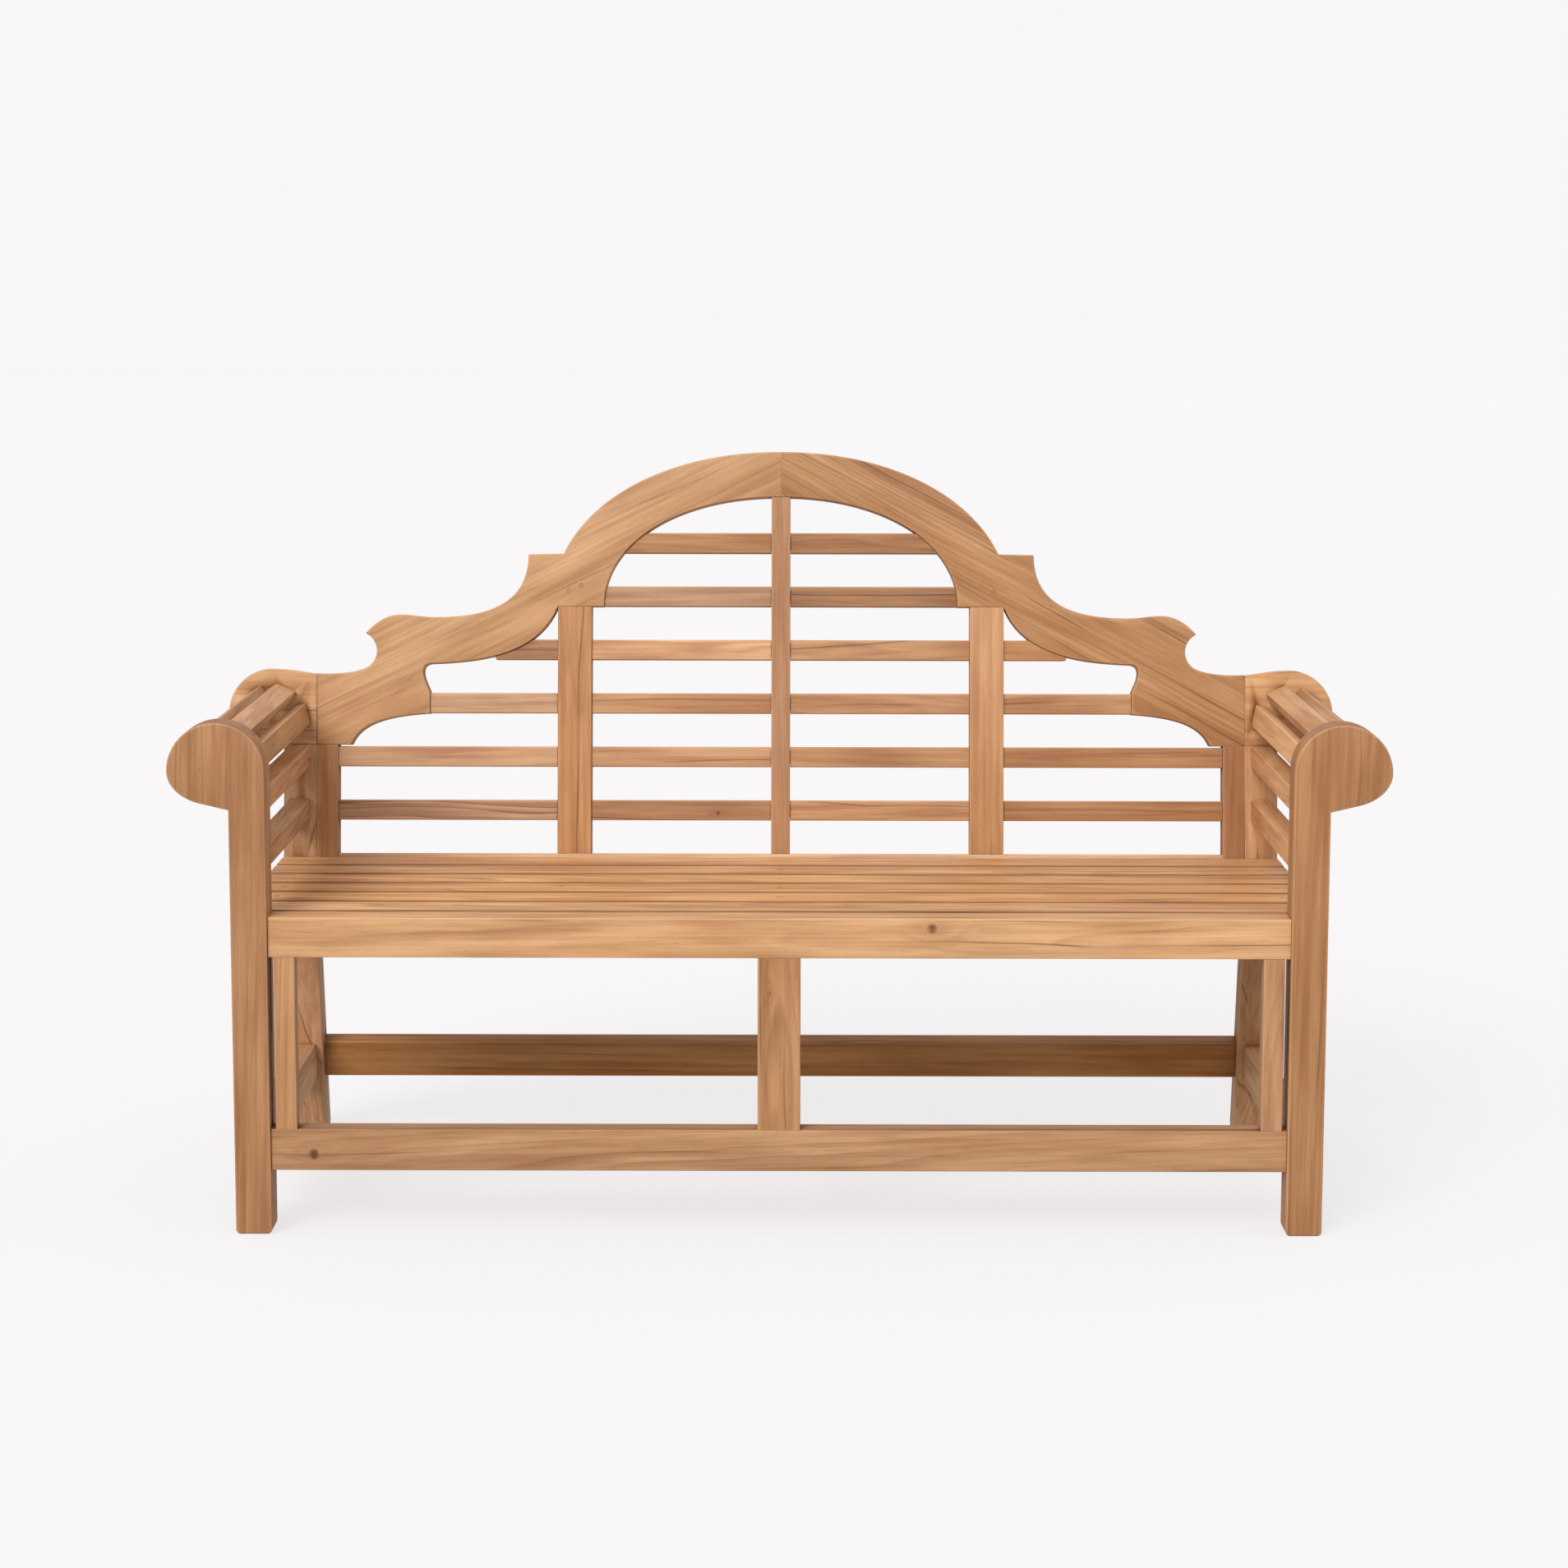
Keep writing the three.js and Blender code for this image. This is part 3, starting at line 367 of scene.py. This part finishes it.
def teakMaterial(slot):
    look = teakLooks[slot]
    grain = teakGrain
    surface = teakSurface
    material = bpy.data.materials.new("sandedTeak" + slot.split("_")[-1].capitalize())
    material.use_nodes = True
    tree = material.node_tree
    tree.nodes.clear()
    place = boardValue(tree, "boardPlace", "Vector")
    knotPlace = boardValue(tree, "knotPlace", "Vector")
    tone = addNode(tree, "ShaderNodeSeparateXYZ", {0: boardValue(tree, "boardTone", "Vector")}).outputs

    swirl = knotSwirl(tree, knotPlace)
    rings = growthRings(tree, place, swirl, tone["Z"])
    clouds = stretched(tree, place, grain["clouds"], 2.0)
    streaks = stretched(tree, place, grain["streaks"], 3.0)
    blend = addNode(tree, "ShaderNodeMix", {0: grain["streakShare"], 2: clouds, 3: streaks}).outputs[0]
    ground = painted(tree, spread(tree, blend, grain["ground"]), srgb(look["light"]), look["deep"])
    ringed = painted(tree, rings, ground, look["ring"])
    lined = painted(tree, darkVeins(tree, place, tone["Z"]), ringed, look["vein"])
    fibres = stretched(tree, place, grain["fibres"], 2.0)
    pores = stretched(tree, place, grain["pores"], 1.0)
    poreSpot = spread(tree, pores, grain["poreSpots"], (0.0, grain["poreDark"]))
    pored = painted(tree, poreSpot, lined, look["vein"])
    knotted = withKnots(tree, pored, knotPlace, swirl)
    toned = withTone(tree, knotted, tone, spread(tree, fibres, (0.3, 0.7), grain["fibreShade"]))
    colour = withWearAndShade(tree, toned)

    roughBase = spread(tree, streaks, (0.3, 0.7), surface["roughness"])
    rough = maths(tree, "MULTIPLY_ADD", poreSpot, surface["poreRough"], roughBase)
    ridge = maths(tree, "MULTIPLY_ADD", rings, surface["ringRidge"], fibres)
    height = maths(tree, "MULTIPLY_ADD", poreSpot, surface["poreDepth"], ridge)
    bump = addNode(tree, "ShaderNodeBump", {"Strength": surface["bumpStrength"],
                                            "Distance": surface["bumpDepth"], "Height": height}).outputs[0]
    shader = addNode(tree, "ShaderNodeBsdfPrincipled",
                     {"Base Color": colour, "Roughness": rough, "Normal": bump, "IOR": surface["ior"],
                      "Specular IOR Level": surface["specular"]})
    addNode(tree, "ShaderNodeOutputMaterial", {"Surface": shader.outputs[0]})
    return material


teak = {slot: teakMaterial(slot) for slot in teakLooks}
print("teak ready:", ", ".join(teak))


# How each board was cut from the tree.
recline = math.radians(8.58)
panelUp = Vector((0, math.sin(recline), math.cos(recline)))
panelBack = Vector((0, math.cos(recline), -math.sin(recline)))
across = Vector((1, 0, 0))
upright = Vector((0, 0, 1))
backwards = Vector((0, 1, 0))
railSlope = math.radians(27)     # the two boards of the top rail rise towards the middle

# direction of the grain, and the direction through the thickness of the board
boardCuts = {
    "arm_slat": (backwards, upright),
    "back_slat": (across, panelBack),
    "back_bottom_rail": (across, panelBack),
    "back_muntin": (panelUp, panelBack),
    "back_outer_stile": (panelUp, panelBack),
    "back_wide_stile": (panelUp, panelBack),
    "front_leg": (upright, backwards),
    "front_post": (upright, backwards),
    "front_seat_rail": (across, backwards),
    "front_stretcher": (across, backwards),
    "rear_leg": (upright, across),
    "rear_scroll_block": (across, panelBack),
    "rear_stretcher": (across, backwards),
    "seat_bearer": (backwards, across),
    "seat_slat": (across, upright),
    "side_seat_rail": (backwards, across),
    "side_stretcher": (backwards, across),
}

# woods the boards are picked from: how light, and how deep in colour, against plain teak
woods = {
    "golden": (1.15, 1.0),
    "bleached": (1.15, 0.88),
    "pale": (1.05, 0.99),
    "light": (0.92, 0.98),
    "ashen": (0.92, 0.88),
    "honey": (0.87, 0.97),
    "rich": (0.87, 1.06),
    "tan": (0.81, 0.98),
    "amber": (0.8, 1.06),
    "brown": (0.75, 0.99),
    "greyed": (0.76, 0.85),
    "russet": (0.66, 1.02),
    "dark": (0.59, 1.0),
    "deep": (0.59, 1.18),
}
figures = {"plain": 0.6, "quiet": 0.85, "lively": 1.1, "striped": 1.9}    # strength of rings and veins

# the wood and the figure picked for each board
boardTones = {
    # painted light: the arm slats are picked paler, to lift the shade they sit in
    "arm_slat": ("light", "quiet"),
    "arm_slat_inner_right": ("pale", "plain"),
    "arm_slat_low_right": ("pale", "plain"),
    "arm_slat_middle_right": ("pale", "plain"),
    "arm_slat_top_left": ("pale", "plain"),
    "arm_slat_top_right": ("light", "plain"),
    # painted light: the bottom rail is picked paler and greyer, for the shade and bounce light behind the
    # seat
    "back_bottom_rail": ("bleached", "quiet"),
    "back_muntin": ("brown", "quiet"),
    "back_outer_stile_left": ("rich", "quiet"),
    "back_outer_stile_right": ("russet", "quiet"),
    "back_slat_1_inner_left": ("brown", "lively"),
    "back_slat_1_inner_right": ("dark", "quiet"),
    "back_slat_2_inner_left": ("greyed", "plain"),
    "back_slat_2_inner_right": ("dark", "lively"),
    "back_slat_3_inner_left": ("bleached", "striped"),
    "back_slat_3_inner_right": ("tan", "lively"),
    "back_slat_3_outer_left": ("dark", "lively"),
    "back_slat_3_outer_right": ("honey", "quiet"),
    "back_slat_4_inner_left": ("honey", "lively"),
    "back_slat_4_inner_right": ("tan", "lively"),
    "back_slat_4_outer_left": ("ashen", "lively"),
    "back_slat_4_outer_right": ("tan", "quiet"),
    "back_slat_5_inner_left": ("honey", "quiet"),
    "back_slat_5_inner_right": ("brown", "plain"),
    "back_slat_5_outer_left": ("ashen", "plain"),
    "back_slat_5_outer_right": ("russet", "plain"),
    "back_slat_6_inner_left": ("russet", "lively"),
    "back_slat_6_inner_right": ("honey", "quiet"),
    "back_slat_6_outer_left": ("greyed", "striped"),
    "back_slat_6_outer_right": ("russet", "quiet"),
    "back_wide_stile_left": ("rich", "lively"),
    "back_wide_stile_right": ("light", "plain"),
    "front_leg_left": ("brown", "plain"),
    "front_leg_right": ("amber", "plain"),
    "front_post": ("light", "quiet"),
    "front_post_middle": ("amber", "quiet"),
    "front_seat_rail": ("pale", "lively"),
    "front_stretcher": ("brown", "quiet"),
    "rear_leg": ("light", "quiet"),
    "rear_scroll_block": ("light", "quiet"),
    # painted shade: the rear stretcher's darker, deeper tone stands in for the seat's shade over it
    "rear_stretcher": ("deep", "quiet"),
    "seat_bearer": ("honey", "quiet"),
    "seat_slat": ("golden", "lively"),
    "side_seat_rail": ("honey", "quiet"),
    "side_stretcher": ("light", "quiet"),
}


def toneOf(wood, figure):
    return (*woods[wood], figures[figure])


# knots: place from the middle of the piece along and across the grain, and size, in metres
knots = {
    "front_seat_rail": (0.206, -0.014, 0.0042),
    "front_stretcher": (-0.632, 0.006, 0.0042),
    "front_post_middle": (0.07, -0.012, 0.0018),
    "back_wide_stile_left": (0.11, 0.012, 0.0016),
    "back_slat_6_inner_left": (0.055, 0.004, 0.0018),
    "seat_slat_3": (-0.31, 0.012, 0.0022),
}


def lookup(table, node):
    # the longest name in the table that the node's name starts with
    fits = [key for key in table if node.startswith(key)]
    return table[max(fits, key=len)] if fits else None


# how far boards differ in the way they were sawn
sawing = {
    "lean": 1.6,               # degrees between the grain and the edge of the board
    "dive": 2.2,               # degrees between the grain and its face
    "heartAlong": 3,           # metres; how far along the trunk a board may start
    "heartAcross": 0.05,
    "heartDepth": (0.05, 0.14),
    "jitter": (0.03, 0.04, 0.15),    # of lightness, depth of colour and figure
    "knotDepth": 0.15,         # a knot goes deep into the board
    "noKnot": (90.0, 90.0, 90.0),    # too far away to show
    "endPower": 4,             # how soon a face turned to the grain counts as an end
}


def knotSpot(local, width, along, through, knot):
    return [(local.dot(along) - knot[0]) / knot[2], (local.dot(width) - knot[1]) / knot[2],
            local.dot(through) / knot[2] * sawing["knotDepth"]]


def markBoard(mesh, along, through, tone, seed, node=None):
    # writes where each point lies in its board, so that the figure runs true through the piece
    pick = random.Random(seed)
    width = through.cross(along)
    points = [vertex.co.copy() for vertex in mesh.vertices]
    middle = centreOf(node) if node else sum(points, Vector()) / len(points)
    lean = Matrix.Rotation(math.radians(pick.uniform(-sawing["lean"], sawing["lean"])), 3, through)
    dive = Matrix.Rotation(math.radians(pick.uniform(-sawing["dive"], sawing["dive"])), 3, width)
    heart = Vector((pick.uniform(-sawing["heartAlong"], sawing["heartAlong"]),
                    pick.uniform(-sawing["heartAcross"], sawing["heartAcross"]),
                    pick.uniform(*sawing["heartDepth"])))
    knot = knots.get(node)
    placeData = []
    knotData = []
    for point in points:
        local = point - middle
        turned = lean @ (dive @ local)
        placeData += [turned.dot(along) + heart.x, turned.dot(width) + heart.y, turned.dot(through) + heart.z]
        knotData += knotSpot(local, width, along, through, knot) if knot else sawing["noKnot"]
    toneData = [value + pick.uniform(-reach, reach) for value, reach in zip(tone, sawing["jitter"])]
    toneData *= len(points)
    for name, data in (("boardPlace", placeData), ("knotPlace", knotData), ("boardTone", toneData)):
        layer = mesh.attributes.new(name, "FLOAT_VECTOR", "POINT")
        layer.data.foreach_set("vector", data)
    ends = [abs(face.normal.dot(along)) ** sawing["endPower"] for face in mesh.polygons]
    mesh.attributes.new("endGrain", "FLOAT", "FACE").data.foreach_set("value", ends)


easing = {
    "free": 0.0022,      # open edges are rounded over by sanding
    "weld": 0.00001,     # points this near are one
    "flat": 0.3,         # degrees; faces this close to one plane are one face
    "segments": 3,
    "joint": 0.0006,     # edges at a joint are only broken, which draws a fine line
    "sharpest": 30,      # degrees; flatter edges belong to a curve
    "blocked": 0.0012,   # an edge face with another piece this near is in a joint
    "seam": 0.00015,     # the glued seam of the top rail is flush
    "gap": 0.016,        # a side face with another piece this near gets painted shade
    "gapSlack": 0.001,   # added to the gap when looking for pieces nearby
    "gapStart": 0.0004,  # how far off a face the look across the gap starts
    "inset": 0.0005,     # where the look for a joint starts, in from the edge
    "lift": 0.00002,     # and off the face
}
# slats are eased less, so that the gaps between them stay crisp
easedRadius = {"seat_slat": 0.0012, "arm_slat": 0.0016}
firstSeed = 100    # the boards of the frame are numbered from here, in the order of their names
trees = {name: BVHTree.FromObject(obj, bpy.context.evaluated_depsgraph_get()) for name, obj in nodes.items()}
boxes = {name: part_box(name) for name in nodes}


def neighboursOf(node):
    low, high = boxes[node]
    near = []
    reach = easing["gap"] + easing["gapSlack"]
    for other, (otherLow, otherHigh) in boxes.items():
        apart = any(otherLow[i] > high[i] + reach or otherHigh[i] < low[i] - reach for i in range(3))
        if other != node and not apart:
            near.append(trees[other])
    return near


def meets(near, start, way, reach):
    # whether a piece nearby is met within this reach
    return any(tree.ray_cast(start, way, reach)[0] is not None for tree in near)


def blockedFaces(edge, near):
    # how many of an edge's two faces have another piece right in front of them
    middle = (edge.verts[0].co + edge.verts[1].co) / 2
    run = (edge.verts[1].co - edge.verts[0].co).normalized()
    count = 0
    for face in edge.link_faces:
        inward = face.normal.cross(run)
        if inward.dot(face.calc_center_median() - middle) < 0:
            inward = -inward
        start = middle + inward * easing["inset"] + face.normal * easing["lift"]
        count += meets(near, start, face.normal, easing["blocked"])
    return count


def weighEdges(bm, near, radius, seamed):
    # full weight for an open edge, little for one at a joint, none inside a joint
    weights = bm.edges.layers.float.new("bevel_weight_edge")
    for edge in bm.edges:
        if len(edge.link_faces) == 2 and edge.calc_face_angle_signed(0) > math.radians(easing["sharpest"]):
            edge[weights] = (1.0, easing["joint"] / radius, 0.0)[blockedFaces(edge, near)]
            if seamed and all(abs(vertex.co.x) < easing["seam"] for vertex in edge.verts):
                edge[weights] = easing["seam"] / radius


def bevelled(name, mesh, radius):
    # the second material marks the rounded faces
    draft = bpy.data.objects.new(name + "Draft", mesh)
    scene.collection.objects.link(draft)
    mesh.materials.append(None)
    mesh.materials.append(None)
    bevel = draft.modifiers.new("ease", "BEVEL")
    bevel.limit_method = "WEIGHT"
    bevel.width = radius
    bevel.segments = easing["segments"]
    bevel.use_clamp_overlap = False
    bevel.material = 1
    bevel.harden_normals = True
    bevel.miter_outer = "MITER_SHARP"
    mesh.shade_smooth()
    bpy.context.view_layer.update()
    made = bpy.data.meshes.new_from_object(draft.evaluated_get(bpy.context.evaluated_depsgraph_get()))
    made.name = name
    bpy.data.objects.remove(draft)
    return made


def easedMesh(name, bm, near, radius, seamed=False, gapped=False):
    # rounds the open edges of a piece and breaks those at its joints
    bmesh.ops.remove_doubles(bm, verts=bm.verts, dist=easing["weld"])
    bmesh.ops.dissolve_limit(bm, angle_limit=math.radians(easing["flat"]), verts=bm.verts, edges=bm.edges)
    bmesh.ops.recalc_face_normals(bm, faces=bm.faces)
    weighEdges(bm, near, radius, seamed)
    mesh = bpy.data.meshes.new(name)
    bm.to_mesh(mesh)
    bm.free()
    made = bevelled(name, mesh, radius)
    eased = [float(face.material_index == 1) for face in made.polygons]
    made.attributes.new("easedEdge", "FLOAT", "FACE").data.foreach_set("value", eased)
    # seat slats: faces across a gap and rounded edges are marked for painted shade
    inGap = []
    for face, rounded in zip(made.polygons, eased):
        start = face.center + face.normal * easing["gapStart"]
        gapShaded = gapped and (bool(rounded) or meets(near, start, face.normal, easing["gap"]))
        inGap.append(float(gapShaded))
    made.attributes.new("inGap", "FLOAT", "FACE").data.foreach_set("value", inGap)
    made.polygons.foreach_set("material_index", [0] * len(made.polygons))
    made.materials.clear()
    return made


def finishPiece(name, mesh, slot, replaced=()):
    mesh.materials.append(teak[slot])
    piece = bpy.data.objects.new(name, mesh)
    scene.collection.objects.link(piece)
    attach(piece, "root")
    if replaced:
        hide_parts(*replaced)
    return piece


def camel(name):
    words = name.split("_")
    return words[0] + "".join(word.capitalize() for word in words[1:])


slots = {row["node"]: row["material_slot"] for row in frame["record"]["subparts"]}


def dressNode(node, seed):
    bm = bmesh.new()
    bm.from_mesh(nodes[node].data)
    radius = lookup(easedRadius, node) or easing["free"]
    mesh = easedMesh(camel(node), bm, neighboursOf(node), radius, gapped=node.startswith("seat_slat"))
    along, through = lookup(boardCuts, node)
    markBoard(mesh, along, through, toneOf(*lookup(boardTones, node)), seed, node)
    finishPiece(camel(node), mesh, slots[node], [node])


# The top rail is two boards glued at the middle, with the grain rising towards the seam.
topRailBoards = {
    "Left": {"side": -1, "tone": ("light", "plain"), "seed": 411},
    # partly painted shade: the right board is darker partly for its wood and partly as shade away from the
    # light on the left
    "Right": {"side": 1, "tone": ("brown", "lively"), "seed": 427},
}
glueLine = 0.00005    # how far each board stops short of the middle


def dressTopRail():
    halves = []
    for name, board in topRailBoards.items():
        side = board["side"]
        bm = bmesh.new()
        bm.from_mesh(nodes["back_top_rail"].data)
        bmesh.ops.remove_doubles(bm, verts=bm.verts, dist=easing["weld"])
        everything = bm.verts[:] + bm.edges[:] + bm.faces[:]
        seam = Vector((side * glueLine, 0, 0))
        cut = bmesh.ops.bisect_plane(bm, geom=everything, plane_co=seam, plane_no=Vector((side, 0, 0)),
                                     clear_inner=True)
        cutEdges = [item for item in cut["geom_cut"] if isinstance(item, bmesh.types.BMEdge)]
        bmesh.ops.edgenet_fill(bm, edges=cutEdges)
        mesh = easedMesh("topRail" + name, bm, neighboursOf("back_top_rail"), easing["free"], seamed=True)
        along = across * (-side * math.cos(railSlope)) + panelUp * math.sin(railSlope)
        markBoard(mesh, along, panelBack, toneOf(*board["tone"]), board["seed"], "back_top_rail")
        halves.append(finishPiece("topRail" + name, mesh, slots["back_top_rail"]))
    for half in halves:
        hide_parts("back_top_rail")


for number, node in enumerate(sorted(nodes)):
    if node == "back_top_rail":
        dressTopRail()
    else:
        dressNode(node, firstSeed + number)
print("boards dressed:", len(nodes))


# The outermost slat of each arm, one step round the roll from the outer slat of the frame.
lastArmSlats = {
    "armSlatLastLeft": {"copy": "arm_slat_outer_left", "side": -1, "tone": ("light", "quiet"), "seed": 511},
    "armSlatLastRight": {"copy": "arm_slat_outer_right", "side": 1, "tone": ("light", "quiet"), "seed": 523},
}
armRoll = {
    "centre": (0.7555, 0.63548),    # distance from the middle of the bench, and height
    "step": math.radians(56.95),    # from one slat to the next
}


def addLastArmSlats():
    for name, slat in lastArmSlats.items():
        side = slat["side"]
        centre = Vector((side * armRoll["centre"][0], 0, armRoll["centre"][1]))
        turn = Matrix.Translation(centre) @ Matrix.Rotation(side * armRoll["step"], 4, "Y")
        bm = bmesh.new()
        bm.from_mesh(nodes[slat["copy"]].data)
        bmesh.ops.transform(bm, matrix=turn @ Matrix.Translation(-centre), verts=bm.verts)
        near = neighboursOf("front_leg_" + slat["copy"].split("_")[-1])
        mesh = easedMesh(name, bm, near, easedRadius["arm_slat"])
        markBoard(mesh, backwards, across, toneOf(*slat["tone"]), slat["seed"])
        finishPiece(name, mesh, "teak_slats")


addLastArmSlats()
print("outermost arm slats added: 2")


# Turned teak pegs and plugs, cut off and sanded almost flush over the tenons and the seat screws.
def plugTree():
    tree = bpy.data.node_groups.new("plugsOnPoints", "GeometryNodeTree")
    tree.is_modifier = True
    face = tree.interface
    face.new_socket("Geometry", in_out="INPUT", socket_type="NodeSocketGeometry")
    face.new_socket("Radius", in_out="INPUT", socket_type="NodeSocketFloat")
    face.new_socket("Sunk", in_out="INPUT", socket_type="NodeSocketFloat")
    face.new_socket("Proud", in_out="INPUT", socket_type="NodeSocketFloat")
    face.new_socket("Material", in_out="INPUT", socket_type="NodeSocketMaterial")
    face.new_socket("Geometry", in_out="OUTPUT", socket_type="NodeSocketGeometry")
    given = tree.nodes.new("NodeGroupInput").outputs
    disc = addNode(tree, "GeometryNodeMeshCircle",
                   {"Vertices": plugShape["sides"], "Radius": given["Radius"]}, fill_type="NGON")
    down = addNode(tree, "ShaderNodeMath", {0: given["Sunk"], 1: -1.0}, operation="MULTIPLY").outputs[0]
    bottom = addNode(tree, "ShaderNodeCombineXYZ", {"Z": down}).outputs[0]
    lowered = addNode(tree, "GeometryNodeTransform", {"Geometry": disc.outputs[0], "Translation": bottom})
    shank = addNode(tree, "GeometryNodeExtrudeMesh",
                    {"Mesh": lowered.outputs[0], "Offset Scale": given["Sunk"], "Individual": False})
    crown = addNode(tree, "GeometryNodeExtrudeMesh",
                    {"Mesh": shank.outputs["Mesh"], "Selection": shank.outputs["Top"],
                     "Offset Scale": given["Proud"], "Individual": False})
    rounded = addNode(tree, "GeometryNodeScaleElements",
                      {"Geometry": crown.outputs["Mesh"], "Selection": crown.outputs["Top"],
                       "Scale": plugShape["crown"]})
    underside = addNode(tree, "GeometryNodeFlipFaces", {"Mesh": lowered.outputs[0]})
    joined = addNode(tree, "GeometryNodeJoinGeometry")
    tree.links.new(rounded.outputs[0], joined.inputs[0])
    tree.links.new(underside.outputs[0], joined.inputs[0])
    plug = addNode(tree, "GeometryNodeMergeByDistance",
                   {"Geometry": joined.outputs[0], "Distance": easing["weld"]})
    facing = addNode(tree, "GeometryNodeInputNamedAttribute", {"Name": "facing"},
                     data_type="FLOAT_VECTOR").outputs["Attribute"]
    turn = addNode(tree, "FunctionNodeAlignRotationToVector", {"Vector": facing}, axis="Z").outputs[0]
    points = addNode(tree, "GeometryNodeMeshToPoints", {"Mesh": given["Geometry"]}).outputs[0]
    plugs = addNode(tree, "GeometryNodeInstanceOnPoints",
                    {"Points": points, "Instance": plug.outputs[0], "Rotation": turn})
    real = addNode(tree, "GeometryNodeRealizeInstances", {"Geometry": plugs.outputs[0]})
    coated = addNode(tree, "GeometryNodeSetMaterial",
                     {"Geometry": real.outputs[0], "Material": given["Material"]})
    addNode(tree, "NodeGroupOutput", {"Geometry": coated.outputs[0]})
    return tree


plugShape = {"sides": 20, "crown": 0.9}    # the crown is the share of the width left flat
# node the plugs sit in, the way the drill went in, and the place on its path, in metres
slatRows = [centreOf(f"seat_slat_{i}").y for i in range(1, 7)]
plugSets = {
    "railPegs": {
        "slot": "teak_rails", "radius": 0.0042, "sunk": 0.004, "proud": 0.0002, "seed": 611,
        "tone": ("light", "plain"), "along": backwards, "through": across,
        "holes": [("back_top_rail", (0, way, 0), (side * x, 0, z))
                  for way in (1, -1) for side in (1, -1) for x, z in ((0.297, 0.836), (0.316, 0.828))]
                 + [("back_bottom_rail", (0, -1, 0), (x, 0, 0.44)) for x in (-0.3065, 0, 0.3065)],
    },
    "legPegs": {
        "slot": "teak_uprights", "radius": 0.0042, "sunk": 0.004, "proud": 0.0002, "seed": 631,
        "tone": ("honey", "plain"), "along": across, "through": upright,
        "holes": [(f"{leg}_leg_{'left' if side < 0 else 'right'}", (-side, 0, 0), (0, y, z))
                  for side in (-1, 1)
                  for leg, y, z in (("front", -0.305, 0.398), ("front", -0.291, 0.421),
                                    ("rear", 0.222, 0.385), ("rear", 0.236, 0.408))],
    },
    "seatPlugs": {
        "slot": "teak_slats", "radius": 0.005, "sunk": 0.005, "proud": 0.00015, "seed": 653,
        "tone": ("light", "plain"), "along": across, "through": upright,
        "holes": [(f"seat_slat_{i + 1}", (0, 0, -1), (x, y, 0))
                  for i, y in enumerate(slatRows) for x in (-0.7, 0, 0.7)],
    },
}


def addPlugs():
    tree = plugTree()
    sockets = {item.name: item.identifier for item in tree.interface.items_tree
               if item.in_out == "INPUT"}
    for name, plugs in plugSets.items():
        places, normals = [], []
        for node, way, spot in plugs["holes"]:
            way = Vector(way)
            hit, normal, _, _ = trees[node].ray_cast(Vector(spot) - way * 2, way)
            if hit is None:
                print("no wood for a plug:", name, node, spot)
                continue
            places.append(hit)
            normals += list(normal)
        mesh = bpy.data.meshes.new(name + "Points")
        mesh.from_pydata(places, [], [])
        mesh.attributes.new("facing", "FLOAT_VECTOR", "POINT").data.foreach_set("vector", normals)
        draft = bpy.data.objects.new(name + "Draft", mesh)
        scene.collection.objects.link(draft)
        maker = draft.modifiers.new("plugs", "NODES")
        maker.node_group = tree
        maker[sockets["Radius"]] = plugs["radius"]
        maker[sockets["Sunk"]] = plugs["sunk"]
        maker[sockets["Proud"]] = plugs["proud"]
        maker[sockets["Material"]] = teak[plugs["slot"]]
        bpy.context.view_layer.update()
        seen = draft.evaluated_get(bpy.context.evaluated_depsgraph_get())
        made = bpy.data.meshes.new_from_object(seen)
        made.name = name
        made.materials.clear()
        bpy.data.objects.remove(draft)
        markBoard(made, plugs["along"], plugs["through"], toneOf(*plugs["tone"]), plugs["seed"])
        finishPiece(name, made, plugs["slot"])
        print("plugs made:", name, len(places))


addPlugs()
